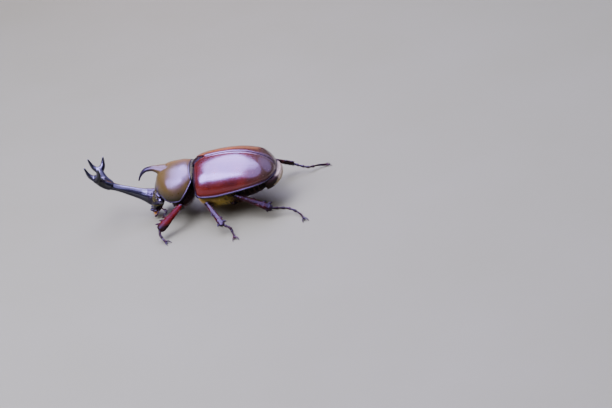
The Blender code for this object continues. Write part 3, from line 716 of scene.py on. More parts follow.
def trunk_points(y, w, grow=0.0):
    """Skin of the hind body under the wing cases: dome above, bowl below. w runs round it."""
    depth = ELYTRA_WALL + GAP
    t = np.clip(y / ((ELYTRA_LENGTH - depth) / ELYTRA_LENGTH), 0.0, ELYTRA_LENGTH * 0.995)
    lead = 1 - 0.07 * share((0.6 - y) / 1.2)
    wide = elytra_width(t) * (ELYTRA_HALF_WIDTH - depth) / ELYTRA_HALF_WIDTH * lead
    rise = elytra_rise(t) * (ELYTRA_RISE - depth) / ELYTRA_RISE * lead
    side = margin_line(t) - 0.3
    s = np.sin(w)
    below = s < 0
    x = (wide + grow * below) * signed_power(np.cos(w), 2 / DOME_POWER)
    up = (rise + 0.3) * np.abs(s) ** (2 / DOME_POWER)
    down = -(side - belly_line(y) + grow) * np.abs(s) ** 1.4
    return together(x, y, side + np.where(below, down, up))


def metathorax():
    """Breast between the first and last legs, with its plates and midline."""
    y = np.concatenate([[-0.6], np.linspace(-0.55, 12.5, 90), [12.6]])[:, None]
    w = around(180)[None, :]
    under = share(-np.sin(w))
    flank = bell(under - 0.42, 0.03) + bell(under - 0.72 + 0.016 * y, 0.03) * (y > 3)
    grooves = flank + bell(y - 2.3 - 2.2 * under, 0.16) + bell(y - 8.4 + 2.0 * under, 0.16)
    midline = bell(w - 1.5 * np.pi, 0.012)
    rings = trunk_points(y, w, np.where(under > 0.02, -0.12 * share(grooves + midline), 0.0))
    middle, drawn_in = 11.0, 0.82
    rings[0, :, 0] *= drawn_in
    rings[0, :, 2] = middle + (rings[0, :, 2] - middle) * drawn_in
    back = 0.75 * share((rings[:1, :, 2] - 13.8) / 2.9)
    rings[1:6, :, 1] -= back * np.linspace(1, 0.1, 5)[:, None]
    form = Form().rings(rings, 0.5 * share(grooves) * (under > 0))
    piece("breast_plates", form, SHELL, ["metathorax"], sharp=60)


def abdomen():
    """Belly rings that lap over each other, with a breathing pit on each flank."""
    y, w = np.linspace(STERNITES[0], STERNITES[-1], 110)[:, None], around(160)[None, :]
    under = share(-np.sin(w))
    step, pit = np.zeros_like(y), np.zeros_like(y * w)
    for a, b in zip(STERNITES, STERNITES[1:]):
        f = (y - a) / (b - a)
        lap = -0.30 * share(1 - f / 0.16) ** 0.7 - 0.10 * share((f - 0.9) / 0.1)
        step = np.where((y >= a) & (y <= b), lap, step)
        for place in (1.14, 1.86) if a > STERNITES[0] else ():
            pit += bell(y - (a + b) / 2, 0.22) * bell(w - place * np.pi, 0.035)
    rings = trunk_points(y, w, np.where(under > 0.03, step - 0.2 * pit, 0.0))
    form = Form().rings(rings, share(pit + (step < -0.12)) * (under > 0))
    piece("belly_rings", form, SHELL, ["abdomen"], sharp=60)


rump_half = smooth((RUMP_FOOT, 3.4), (7.0, 5.2), (8.2, 7.0), (9.6, 8.4), (10.8, 9.3), (RUMP_TOP, 9.1))
rump_reach = smooth((RUMP_FOOT, 1.4), (7.0, 2.6), (8.2, 3.8), (9.6, 4.6), (10.8, 4.9), (RUMP_TOP, 4.6))


def rump_points(z, w):
    return together(rump_half(z) * np.cos(w), RUMP_Y + rump_reach(z) * share(np.sin(w)) ** 0.9, z)


def pygidium():
    """Velvety end plates of the body, upright, with a line between them and a flat front."""
    z = np.linspace(RUMP_FOOT, RUMP_TOP, 44)[:, None]
    arc = rump_points(z, np.linspace(0, np.pi, 90)[None, :])
    line = 0.16 * bell(z - RUMP_LINE, 0.14)
    arc[..., :2] -= line[..., None] * unit(arc - (0, RUMP_Y, 0))[..., :2]
    flat = together(np.linspace(-0.9, 0.9, 9)[None, :] * rump_half(z), RUMP_Y, z)
    rings = np.concatenate([arc, flat], axis=1)
    shade = bell(z - RUMP_LINE, 0.2) * (np.arange(rings.shape[1]) < arc.shape[1])
    piece("pygidium_plate", Form().rings(rings, shade), VELVET, ["pygidium"], sharp=50)


# ------------------------ prothorax
def prothorax(x, s, h):
    """Point in the tilted frame of the prothorax: s forward, h above the neck."""
    level, fall = math.cos(NECK_PITCH), math.sin(NECK_PITCH)
    return together(x, NECK_Y - s * level - h * fall, NECK_Z - s * fall + h * level)


pronotum_width = smooth((0, 6.5), (0.6, 7.3), (1.6, 8.2), (3.0, 9.2), (6.0, 10.2), (7.8, 9.9),
                        (9.8, 8.6), (11.6, 6.3), (12.7, 4.3), (PRONOTUM_LENGTH, 1.6))
pronotum_floor = smooth((0, -3.4), (0.8, -4.2), (3.0, -6.2), (5.8, -7.9), (7.8, -7.6), (9.9, -6.8),
                        (11.8, -5.0), (PRONOTUM_LENGTH, -3.5))
pronotum_top = smooth((0, -0.45), (0.5, 0.05), (3.3, 1.05), (7.6, 1.6), (9.4, 1.35), (11.0, 0.45),
                      (12.1, -0.8), (13.1, -2.3), (PRONOTUM_LENGTH, -3.1))
prosternum_base = smooth((1.4, -8.6), (3.2, -11.0), (6.4, -12.2), (9.0, -10.8), (11.0, -8.0))


def pronotum_skin(s, w):
    """Skin of the shield. w = 0 and pi are its side margins, and pi / 2 is the midline on top."""
    floor, top, rise = pronotum_floor(s), pronotum_top(s), np.sin(w)
    x = pronotum_width(s) * signed_power(np.cos(w), 2 / DOME_POWER)
    up = (top - floor) * np.abs(rise) ** (2 / DOME_POWER)
    h = np.where(rise > 0, floor + up, floor - 0.12 * np.abs(rise))
    return prothorax(x, s, h)


def thorn_forms(form):
    """The short thorn on the shield, which forks at its tip and bends down."""
    t = steps(40)
    path = curve_points([(0, -10.2, 15.9), (0, -12.4, 16.6), (0, -14.3, 17.1), (0, -16.1, 17.05)], 40)
    reach = smooth((0, 2.6), (0.3, 1.95), (0.6, 1.3), (0.8, 1.05), (1, 0.85))(t)
    thick = smooth((0, 2.0), (0.3, 1.5), (0.6, 1.0), (0.8, 0.82), (1, 0.62))(t)
    form.tube(path, reach, thick, 36)
    for side in (-1, 1):
        prong = curve_points([(0.32, -14.7, 17.02), (0.36, -16.2, 16.93), (0.5, -17.4, 16.3),
                              (0.8, -18.5, 15.1), THORN_TIP], 40, side)
        form.tube(prong, 0.68 - 0.40 * t ** 1.4, 0.66 - 0.40 * t ** 1.4, 24)


def pronotum():
    form = Form()
    s = np.concatenate([np.linspace(0, 0.6, 8), np.linspace(0.75, 12.6, 90),
                        np.linspace(12.7, PRONOTUM_LENGTH, 14)])
    form.rings(pronotum_skin(s[:, None], around(150)[None, :]))
    thorn_forms(form)
    points, faces = fuse(form, 0.17, 10)
    skin = Form().add(fillet(points, faces, (0, -13.0, 15.8), 2.8, 40), faces)
    side = np.concatenate([np.linspace(12.9, 0.25, 70), np.full(60, 0.2), np.linspace(0.25, 12.9, 70)])
    turn = np.concatenate([np.full(70, 0.035), np.linspace(0.06, np.pi - 0.06, 60),
                           np.full(70, np.pi - 0.035)])
    skin.tube(pronotum_skin(side, turn), 0.20, 0.22, 10, (0, 0.2, 1), shade=1.0)

    def thorn(centres):
        x, y, z = centres.T
        return (y < -13.4) & (np.hypot(x, z - 17.0) < 2.6) & (z > 13.0)
    split_pieces(skin, thorn, ("pronotum_shield", (PRONOTUM, "pronotum_bronze"), "pronotum"),
                 ("pronotal_horn_hook", (PRONOTUM, "horn_black"), "pronotal_horn"))


def throat_points(s, w, width, relief=0.0):
    """Skin under the prothorax, hanging below the shield's side margins."""
    floor = pronotum_floor(s) - 0.45
    return prothorax(pronotum_width(s) * width * np.cos(w), s,
                     floor - ((floor - prosternum_base(s)) * share(-np.sin(w)) ** 1.3 - relief))


def prosternum():
    s, w = np.linspace(1.4, 10.9, 60)[:, None], around(120)[None, :]
    under = share(-np.sin(w))
    groove = bell(under - 0.5, 0.05) + bell(s - 5.2 - 1.6 * under, 0.2) + bell(s - 8.6, 0.2)
    groove = share(groove) * (under > 0.05)
    form = Form().rings(throat_points(s, w, 0.74, 0.10 * groove), 0.6 * groove)
    piece("prosternum_plate", form, SHELL, ["prosternum"], sharp=60)


# ------------------------ head
head_width = smooth((HEAD_FOOT, 1.9), (3.3, 2.3), (4.4, 2.7), (5.6, HEAD_HALF_WIDTH),
                    (7.2, HEAD_HALF_WIDTH + 0.1), (8.8, 3.0), (9.9, 1.7), (HEAD_TOP, 1.0))
head_front = smooth((HEAD_FOOT, -16.7), (4.0, -16.6), (6.0, -16.3), (8.0, -15.9), (9.6, -14.9),
                    (HEAD_TOP, -14.2))
head_back = smooth((HEAD_FOOT, -15.5), (3.6, -14.6), (5.0, -12.4), (7.0, -11.4), (8.6, -11.8),
                   (HEAD_TOP, -12.9))


def head_skin(z, w):
    front, back = head_front(z), head_back(z)
    return together(head_width(z) * signed_power(np.cos(w), 0.85),
                    (front + back) / 2 + (back - front) / 2 * np.sin(w), z)


def horn_axis(d):
    """Centre of the horn's stem at a distance d in front of the brow."""
    return together(0.0, -16.4 - d, 7.2 + STEM_PITCH * d + 0.0027 * np.maximum(d - 10.0, 0.0) ** 4)


def horn_forms(form):
    """Stem of the horn, and on each side a branch that forks into two tines."""
    wide = smooth((-2.5, 1.7), (-0.4, 2.3), (1.0, 2.1), (4.0, 1.55), (8.0, 1.3), (11.5, 1.45),
                  (13.4, 1.9), (STEM_LENGTH, 1.9))
    high = smooth((-2.5, 2.2), (-0.4, 2.9), (1.0, 2.45), (3.0, 1.9), (7.0, 1.45), (10.5, 1.12),
                  (13.0, 1.3), (STEM_LENGTH, 1.1))
    d = np.linspace(-2.0, STEM_LENGTH, 90)

    def keel(w, t):
        """A low keel along the top of the horn and flatter flanks."""
        return 1 + 0.05 * bell(np.sin(w) - 1, 0.12) - 0.05 * bell(np.sin(w) - 0.55, 0.25)
    form.tube(horn_axis(d), wide(d), high(d), 48, section=keel)
    _, foot_y, foot_z = horn_axis(STEM_LENGTH - 1.8)
    nx, ny, nz = NOTCH
    t = steps(36)
    for side in (-1, 1):
        branch = curve_points([(0.7, foot_y, foot_z), (1.5, foot_y - 1.6, foot_z + 1.4),
                               (2.6, -32.0, 16.6), (nx, ny + 0.1, nz - 0.4)], 36, side)
        form.tube(branch, 1.35 - 0.15 * t, 1.45 - 0.15 * t, 28, (0, 1, 0.3))
        for tip, bulge, root in ((FRONT_TINE, (0.1, -0.5, -0.4), 1.2),
                                 (REAR_TINE, (0.3, 0.35, -0.3), 1.4)):
            start, end = np.array((nx - 0.35, ny + 0.35, nz - 1.1)), np.array(tip)
            tine = curve_points([start, (start + end) / 2 + bulge, end], 36, side)
            form.tube(tine, root - (root - 0.28) * t, root - 0.1 - (root - 0.36) * t, 22, (0, 1, 0.3))


def head():
    """Head and horn as one skin: forked horn, cheek ridges before the eyes, two-lobed lip."""
    form = Form().rings(head_skin(np.linspace(HEAD_FOOT, HEAD_TOP, 60)[:, None], around(80)[None, :]))
    horn_forms(form)
    cheek = [(2.2, -16.0, 5.6), (3.5, -15.0, 6.1), (4.25, -13.9, 6.5), (4.5, -13.2, 6.6)]
    lobe = [(0.9, -16.0, 3.3), (1.15, -16.8, 3.0), (1.25, -17.25, 3.15)]
    brow = [(1.2, -14.8, 9.3), (2.6, -13.9, 8.7), (3.3, -13.0, 8.2)]
    for side in (-1, 1):
        for knots, count, wide, high, sides in ((cheek, 20, 0.45, 0.36, 14), (lobe, 14, 0.75, 0.42, 16),
                                                (brow, 14, 0.5, 0.4, 14)):
            form.tube(curve_points(knots, count, side), wide, high, sides)
    points, faces = fuse(form, 0.13, 6)
    nx, ny, nz = NOTCH
    for place, width, rounds in (((-nx, ny, nz - 0.4), 1.2, 24), ((nx, ny, nz - 0.4), 1.2, 24),
                                 (horn_axis(STEM_LENGTH + 0.6), 2.2, 24), (horn_axis(-0.8), 2.6, 16)):
        points = fillet(points, faces, place, width, rounds)
    rough = share((points[:, 1] + 18.6) / 1.8)
    grain = np.array([noise.noise(Vector(p * 2.4)) + 0.6 * noise.noise(Vector(p * 5.2)) for p in points])
    points = points + unit(points - HEAD_CORE) * (grain * 0.09 * rough)[:, None]

    def horn(centres):
        return (centres[:, 1] < -17.3) & (centres[:, 2] > 4.2)
    split_pieces(Form().add(points, faces, 0.35 * rough), horn, ("head_capsule", HEAD, "head"),
                 ("head_horn_fork", HORN, "head_horn"))


def eyes():
    x, y, z = EYE
    for side, word in SIDES:
        form = Form().rings(ellipsoid((side * x, y, z), (EYE_RADIUS,) * 3, 48, 30))
        piece("eye_" + word + "_dome", form, EYE_BLACK, ["eye_" + word])


def antennae():
    """Elbowed feeler: long first joint, six beads and a club of three leaves."""
    for side, word in SIDES:
        form = Form()
        t = steps(30)
        scape = curve_points([(3.35, -13.6, 4.3), (4.6, -12.2, 4.0), (5.3, -11.5, 3.75)], 30, side)
        knob = 0.2 * bell(t - 0.85, 0.25)
        form.tube(scape, 0.22 + knob, 0.2 + knob, 18, (0, 0.4, 1))
        stalk = curve_points([(5.35, -11.45, 3.7), (5.65, -11.6, 3.3), (5.8, -12.0, 2.9)], 7, side)
        for k, bead in enumerate(stalk):
            form.rings(ellipsoid(bead, (0.26 + 0.015 * k, 0.24, 0.2), 16, 10))
        t = steps(20)
        for k in (-1, 0, 1):
            leaf = curve_points([(5.82 + 0.1 * k, -12.1 + 0.08 * k, 2.95), (5.95 + 0.2 * k, -12.6, 2.5),
                                 (6.05 + 0.22 * k, -13.0 - 0.05 * k, 1.95)], 20, side)
            form.tube(leaf, 0.13, 0.26 + 0.24 * bell(t - 0.6, 0.4), 16, (0, 0.6, 0.6))
        piece("antenna_" + word + "_joints", form, LEG_DARK, ["antenna_" + word])


def palps():
    """Four-jointed palps beside the mouth."""
    knots = [(1.7, -14.6, 3.1), (2.4, -14.9, 2.3), (2.6, -15.4, 1.6), (2.5, -16.0, 1.2)]
    for side, word in SIDES:
        form = Form()
        path = curve_points(knots, 41, side)
        for a, b, size in ((0, 10, 0.26), (10, 21, 0.3), (21, 30, 0.27), (30, 41, 0.33)):
            joint = size * (0.75 + 0.35 * np.linspace(0, 1, b - a))
            form.tube(path[a:b], joint, joint, 16, (1, 0, 0))
        piece("palp_" + word + "_joints", form, (RUST, "leg_dark"), ["palp_" + word])


def mouth():
    """Jaws and lip behind the clypeus, and the orange brush that laps sap."""
    z, w = np.linspace(1.75, 4.6, 26)[:, None], around(40)[None, :]
    wide = smooth((1.7, 0.6), (2.1, 1.2), (2.9, 1.5), (4.6, 1.6))(z)
    front = smooth((1.7, -15.8), (2.1, -16.0), (2.9, -15.3), (4.6, -14.0))(z)
    back = smooth((1.7, -15.0), (2.1, -14.4), (2.9, -13.6), (4.6, -12.6))(z)
    lobes = 1 - 0.12 * bell(np.cos(w), 0.12)
    form = Form().rings(together(wide * np.cos(w) * lobes,
                                 (front + back) / 2 + (back - front) / 2 * np.sin(w) * lobes, z))
    t = steps(20)
    for side in (-1, 1):
        jaw = curve_points([(2.0, -15.3, 3.0), (2.15, -16.1, 2.75), (1.6, -16.75, 2.55)], 20, side)
        form.tube(jaw, 0.5 - 0.3 * t, 0.38 - 0.2 * t, 16)
    piece("mouthparts_jaws", form, (RUST, "mouth_rust"), ["mouthparts"])
    n = 900
    side = rng.choice([-1, 1], n)
    roots = together(side * rng.uniform(0.12, 1.35, n), rng.uniform(-16.1, -14.7, n),
                     rng.uniform(1.9, 2.7, n))
    ways = together(side * rng.normal(0.25, 0.15, n), rng.normal(-0.5, 0.25, n), -1)
    uv = together((roots[:, 0] + 1.4) / 2.8, (roots[:, 1] + 16.2) / 1.6)
    Coat().add(roots, clumped(ways, 4), rng.uniform(0.8, 1.4, n), 0.035, scatter(n, 0.1) - (0, 0.25, 0),
               uv).finish("mouth_brush", BRUSH_HAIR)


# ------------------------ legs
def line_points(start, end, count):
    start, end = np.array(start), np.array(end)
    return start + (end - start) * steps(count)[:, None]


def femur(label, pose):
    """Spindle-shaped thigh."""
    bulge = smooth((0, 0.62), (0.15, 0.86), (0.45, 1.0), (0.8, 0.78), (0.95, 0.66), (1, 0.5))
    wide = pose["femur"] * bulge(steps(44))

    def section(w, t):
        """A groove under the knee end and a low ridge along the back."""
        return 1 - 0.10 * bell(np.sin(w) + 1, 0.1) * (t > 0.5) + 0.04 * bell(np.sin(w) - 1, 0.1)
    rings = tube(line_points(pose["hip"], pose["knee"], 44), wide, wide * 0.62, 32, section=section)
    t = steps(len(rings))[:, None]
    shade = np.broadcast_to(0.8 * bell(t, 0.06) + 0.8 * bell(t - 1, 0.07), rings.shape[:2])
    piece(label + "_femur_shell", Form().rings(rings, shade), LEG_DARK, [label + "_femur"])


def tibia(label, pose):
    """Shin with a toothed outer edge, cross ridges and the two spurs at its end."""
    knee, ankle, size = np.array(pose["knee"]), np.array(pose["ankle"]), pose["tibia"]
    grow = smooth((0, 0.40), (0.08, 0.58), (0.5, 0.78), (0.88, 1.05), (1.0, 0.95))
    path, wide = line_points(knee, ankle, 60), size * grow(steps(60))

    def section(w, t):
        ridge = sum(bell(t - place, 0.022) for place, _, _ in pose["teeth"])
        edges = bell(np.abs(np.cos(w)) - 1, 0.06)
        return 1 + 0.07 * ridge - 0.06 * bell(np.sin(w) - 1, 0.2) + 0.05 * edges
    rings = tube(path, wide, wide * 0.66, 32, pose["outward"], section)
    shade = share((steps(len(rings)) - 0.80) / 0.15)[:, None] * 0.75
    form = Form().rings(rings, np.broadcast_to(shade, rings.shape[:2]))
    ahead, across, lift = (v[0] for v in frames(path[:2], pose["outward"]))
    k = 1 - steps(16)
    for place, rise, edge in pose["teeth"]:
        out = across * (1 if edge == 0 else -1)
        base, width = knee + (ankle - knee) * (place - 0.05), size * grow(place)
        knots = [base + out * width * 0.35, base + out * (width + 0.25 * rise) + ahead * 0.15,
                 base + out * (width + 0.72 * rise) + ahead * 0.55,
                 base + out * (width + rise) + ahead * (0.75 + 0.2 * rise)]
        form.tube(curve_points(knots, 16), (0.34 + 0.28 * rise) * k ** 0.75 + 0.05,
                  (0.30 + 0.12 * rise) * k ** 0.75 + 0.04, 14, lift, shade=0.7)
    end = ankle - ahead * 0.15
    thin = 0.16 * (1 - steps(12)) + 0.04
    for turn, reach in ((0.5, 1.15), (-0.35, 0.95)):
        inner = -lift * 0.9 + across * turn
        spur = [end + inner * size * 0.35, end + inner * size * 0.7 + ahead * 0.5,
                end + inner * size * 0.75 + ahead * reach]
        form.tube(curve_points(spur, 12), thin, thin, 10, across, shade=0.8)
    for a in around(7):
        rim = across * math.cos(a) * size * 0.85 + lift * math.sin(a) * size * 0.55
        thorn = np.array([end + rim * 0.8, end + rim + ahead * 0.25, end + rim * 1.05 + ahead * 0.5])
        form.tube(thorn, [0.12, 0.08, 0.03], [0.12, 0.08, 0.03], 8, unit(rim), shade=0.8)
    piece(label + "_tibia_shell", form, pose["look"], [label + "_tibia"])


def tarsus(label, knots):
    """Five-jointed foot; every joint but the last flares to a crown of short spines."""
    count = 240
    path = curve_points(knots, count + 1)
    ahead, across, lift = frames(path, FOOT_UP)
    flared = smooth((0, 0.45), (0.12, 0.62), (0.7, 0.9), (0.92, 1.15), (1, 0.9))
    plain = smooth((0, 0.45), (0.12, 0.58), (0.8, 0.86), (1, 0.78))
    thin = [0.07, 0.055, 0.02]
    form = Form()
    for a, b in zip(FOOT_JOINTS, FOOT_JOINTS[1:]):
        i, j = int(a * count) + 1, int((a + (b - a) * 0.97) * count)
        part = path[i:j + 1]
        last = b == FOOT_JOINTS[-1]
        flare = FOOT_SIZE * (plain if last else flared)(steps(len(part)))
        keep = np.unique(np.linspace(0, len(part) - 1, 14).round().astype(int))
        form.tube(part[keep], flare[keep] * 0.9, flare[keep], 20, FOOT_UP, shade=0.3)
        for w in () if last else np.pi * (1.0 + np.arange(5) / 4):
            rim = across[j] * math.cos(w) * FOOT_SIZE * 0.75 + lift[j] * math.sin(w) * FOOT_SIZE * 0.85
            spine = path[j] + np.array([rim * 0.8 - ahead[j] * 0.1, rim * 1.1 + ahead[j] * 0.2,
                                        rim * 1.25 + ahead[j] * 0.42])
            spine[:, 2] = np.maximum(spine[:, 2], 0.05)
            form.tube(spine, thin, thin, 6, unit(across[j] + lift[j] * 0.3), shade=0.6)
    piece(label + "_tarsus_joints", form, LEG_DARK, [label + "_tarsus"])


def claws(label, before, root):
    """Two hooked claws and the pad with its two bristles between them."""
    base = np.array(root, float)
    forward = unit((base - before) * (1, 1, 0))
    across = np.array([-forward[1], forward[0], 0.0])
    form = Form()
    t = steps(26)
    hook = 0.30 - 0.22 * t ** 1.2
    arch = 0.22 * np.sin(np.pi * t) - (base[2] - 0.09) * t ** 1.3
    for side in (-1, 1):
        out = CLAW_SPREAD * np.sin(0.5 * np.pi * t) ** 0.8
        path = (base + across * (side * out)[:, None] + forward * (CLAW_REACH * t ** 1.5)[:, None]
                + arch[:, None] * (0, 0, 1))
        form.tube(path, hook, hook, 16)
    pad = base + forward * 0.35 - (0, 0, 0.12)
    form.tube([base, pad, pad + forward * 0.3], [0.24, 0.17, 0.1], [0.22, 0.15, 0.08], 12)
    for side in (-1, 1):
        bristle = [pad + forward * 0.2, pad + forward * 0.6 + across * side * 0.1,
                   pad + forward * 0.95 + across * side * 0.28 - (0, 0, 0.05)]
        form.tube(bristle, [0.05, 0.04, 0.02], [0.05, 0.04, 0.02], 6, shade=0.6)
    piece(label + "_claw_pair", form, (LEG_DARK[0], "horn_black"), [label + "_claws"])


def leg_hair(coat, start, end, size, flat, up, n, length, lean, t_range=(0.1, 0.95),
             sector=(0, 2 * np.pi)):
    """Bristles along one straight joint of a leg."""
    start, end = np.array(start), np.array(end)
    ahead, across, lift = (v[0] for v in frames(np.array([start, end]), up))
    t, w = rng.uniform(*t_range, n), rng.uniform(*sector, n)
    normal = across * np.cos(w)[:, None] + lift * np.sin(w)[:, None]
    surface = across * (size * np.cos(w))[:, None] + lift * (size * flat * np.sin(w))[:, None]
    roots = start + (end - start) * t[:, None] + surface * 0.93
    ways = normal * (1 - lean) + ahead * lean + scatter(n, 0.12)
    coat.add(roots, ways, rng.uniform(0.6, 1.2, n) * length, 0.026, ahead * 0.25 + scatter(n, 0.05),
             together(w / (2 * np.pi) % 1, t), rows=3)


def foot_hair(coat, knots):
    """Sparse bristles under and beside the foot's joints."""
    count, n = 120, 14
    path = curve_points(knots, count + 1)
    ahead, across, lift = frames(path, FOOT_UP)
    for joint in (0.165, 0.315, 0.465, 0.615, 0.98):
        i = int(joint * count)
        w = rng.uniform(0, 2 * np.pi, n)
        normal = across[i] * np.cos(w)[:, None] + lift[i] * np.sin(w)[:, None]
        roots = path[i] + normal * FOOT_SIZE * 0.8 + ahead[i] * rng.uniform(-0.25, 0.1, (n, 1))
        ways = ahead[i] * 0.9 + normal * 0.8
        length = np.minimum(rng.uniform(0.35, 0.75, n), np.maximum(roots[:, 2], 0.15))
        roots[:, 2] = np.maximum(roots[:, 2], 0.08)
        ways[:, 2] = np.maximum(ways[:, 2], -0.3 * roots[:, 2])
        coat.add(roots, ways, length, 0.022, ahead[i] * 0.1, together(w / (2 * np.pi), joint), rows=3)


def leg(label, side, pose):
    """Coxa, femur, tibia, tarsus and claws of one leg, and their bristles."""
    turn = pose.get("coxa_turn", 0) * side
    coxa = Form().rings(ellipsoid(pose["coxa"], pose["coxa_size"], 40, 26, turn))
    piece(label + "_coxa_joint", coxa, SHELL, [label + "_coxa"])
    femur(label, pose)
    tibia(label, pose)
    knots = [pose["ankle"], *pose["foot"]]
    tarsus(label, knots)
    claws(label, *knots[-2:])
    coat = Coat()
    leg_hair(coat, pose["hip"], pose["knee"], pose["femur"] * 0.92, 0.62, (0, 0, 1), 160, 0.8, 0.5,
             (0.1, 0.9), (np.pi, 2 * np.pi))
    leg_hair(coat, pose["knee"], pose["ankle"], pose["tibia"] * 0.82, 0.66, pose["outward"], 190,
             0.65, 0.62)
    foot_hair(coat, knots)
    coat.finish(label + "_bristles", RUST_HAIR)


def mirrored(pose, **changes):
    """The same leg on the other side of the midline, apart from some changes."""
    flip = dict(pose, teeth=[(place, rise, 1 - edge) for place, rise, edge in pose["teeth"]])
    for key in ("coxa", "hip", "knee", "ankle", "outward"):
        x, y, z = pose[key]
        flip[key] = (-x, y, z)
    return dict(flip, **changes)


# teeth: place along the tibia, rise, and 0 or 1 for the edge that they stand on
FORE = dict(
    coxa=(3.1, -7.5, 4.9), coxa_size=(2.2, 1.8, 1.9), hip=(4.2, -7.2, 4.1), knee=(11.9, -5.2, 8.2),
    ankle=(17.7, -11.9, 3.7), foot=[(19.1, -12.1, 2.9), (20.3, -11.3, 1.5), (20.9, -10.4, 0.62)],
    femur=1.6, tibia=1.35, look=LEG_RED, outward=(0.35, 0.35, 0.8),
    teeth=[(0.62, 0.5, 0), (0.78, 0.8, 0), (0.95, 1.0, 0)])
MIDDLE = dict(
    coxa=(3.6, 4.2, 4.5), coxa_size=(2.3, 1.5, 1.4), coxa_turn=25, hip=(4.6, 4.2, 3.9),
    knee=(12.4, 3.4, 8.0), ankle=(19.4, 8.2, 3.4),
    foot=[(19.6, 10.3, 2.2), (22.3, 11.6, 0.9), (23.6, 12.0, 0.6)],
    femur=1.5, tibia=0.95, look=LEG_DARK, outward=(0.3, -0.2, 0.9),
    teeth=[(0.5, 0.3, 0), (0.77, 0.3, 1), (0.95, 0.6, 0), (0.95, 0.7, 1)])
HIND = dict(
    coxa=(4.4, 11.2, 4.7), coxa_size=(3.8, 1.7, 1.2), hip=(4.4, 12.9, 3.8), knee=(11.0, 12.9, 8.9),
    ankle=(12.5, 23.4, 3.6), foot=[(10.9, 28.6, 2.0), (13.6, 32.4, 0.9), (16.6, 33.7, 0.6)],
    femur=1.7, tibia=1.05, look=LEG_DARK, outward=(0.6, 0.1, 0.6),
    teeth=[(0.5, 0.3, 1), (0.8, 0.6, 1), (0.95, 1.0, 1), (0.95, 0.5, 0)])
# each left leg, and how the one across from it differs
LEGS = (
    ("fore", FORE, dict(ankle=(-18.2, -11.2, 3.7),
                        foot=[(-19.8, -11.6, 2.9), (-20.9, -10.9, 1.5), (-21.5, -10.1, 0.62)])),
    ("mid", MIDDLE, dict(ankle=(-19.8, 6.6, 3.4),
                         foot=[(-20.6, 8.6, 2.2), (-22.6, 10.4, 0.9), (-23.7, 11.0, 0.6)])),
    ("hind", HIND, dict(knee=(-13.2, 18.7, 10.2), ankle=(-18.6, 28.9, 4.0),
                        foot=[(-18.0, 33.4, 2.3), (-20.6, 37.6, 1.2), (-21.6, 40.0, 0.6)])))


# ------------------------ coats
def breast_hair():
    """Golden hair on the flanks and underside of the breast."""
    n = 5600
    y = np.clip(rng.normal(4.6, 3.0, n), 0.1, 11.8)
    w = np.pi + np.clip(rng.normal(0.5, 0.26, n), 0.03, 0.97) * np.pi
    roots = trunk_points(y, w, -0.05)
    step = trunk_points(y, w + 0.01, -0.05) - trunk_points(y, w - 0.01, -0.05)
    along = np.array([0.0, 1.0, 0.0])
    normal = unit(np.cross(step, along))
    normal *= np.sign((normal * (roots - (0, 6, 9))).sum(1))[:, None]
    ways = normal * 0.75 + along * 0.7 - (0, 0, 0.3) + scatter(n, 0.16)
    Coat().add(roots, clumped(ways, 4), rng.uniform(0.6, 2.1, n), 0.028, scatter(n, 0.15) - (0, 0, 0.2),
               together(w / (2 * np.pi), y / 13)).finish("breast_hair", AMBER_HAIR)


def throat_hair():
    """Dark hair under the prothorax and round the bases of the fore legs."""
    n = 2600
    s = rng.uniform(1.6, 10.8, n)
    w = np.pi + rng.uniform(0.04, 0.96, n) * np.pi
    ways = together(np.cos(w), 0, np.sin(w)) * 0.9 + (0, 0.5, -0.2) + scatter(n, 0.18)
    uv = together(w / (2 * np.pi), s / 12)
    Coat().add(throat_points(s, w, 0.72), clumped(ways, 4), rng.uniform(0.7, 1.4, n), 0.032,
               scatter(n, 0.12) - (0, 0, 0.2), uv).finish("throat_hair", RUST_HAIR)


def neck_fringe():
    """Olive fringe under the hind rim of the shield, over the base of the wing cases."""
    n = 1500
    w = np.pi * rng.uniform(0.07, 0.93, n)
    roots = pronotum_skin(np.full(n, 0.28), w)
    roots = roots - unit(roots - (0, -2, 10)) * 0.35
    outward = unit(together(np.cos(w), 0 * w, np.sin(w)))
    ways = outward * 0.12 + (0, 1, -0.1) + scatter(n, 0.16)
    uv = together(w / np.pi, rng.uniform(0, 0.05, n))
    lengths = rng.uniform(0.9, 2.0, n) * (0.25 + 0.75 * np.sin(w))
    Coat().add(roots, clumped(ways, 3), lengths, 0.028, outward * -0.15,
               uv).finish("neck_fringe", OLIVE_HAIR)


def rump_fringe():
    """Pale fringe round the end of the body, a thin line at its sides and a band behind."""
    n = 7000
    w = rng.uniform(0.17, 0.83, n) * np.pi
    band = 0.35 + 2.05 * share((np.sin(w) - 0.62) / 0.28)
    z = 9.0 + band * rng.uniform(0, 1, n) ** 0.7
    outward = unit(together(np.cos(w), np.sin(w) ** 0.5, 0 * w))
    ways = outward * 0.8 + (0, 0.1, -0.8) + scatter(n, 0.2)
    lengths = rng.uniform(0.35, 0.8, n) * (0.2 + 0.7 * np.sin(w))
    uv = together(w / np.pi, (z - RUMP_FOOT) / 5.3)
    Coat().add(rump_points(z, w) - outward * 0.1, clumped(ways, 3), lengths, 0.027,
               scatter(n, 0.1) - (0, 0, 0.2), uv, rows=3).finish("rump_fringe", PALE_HAIR)


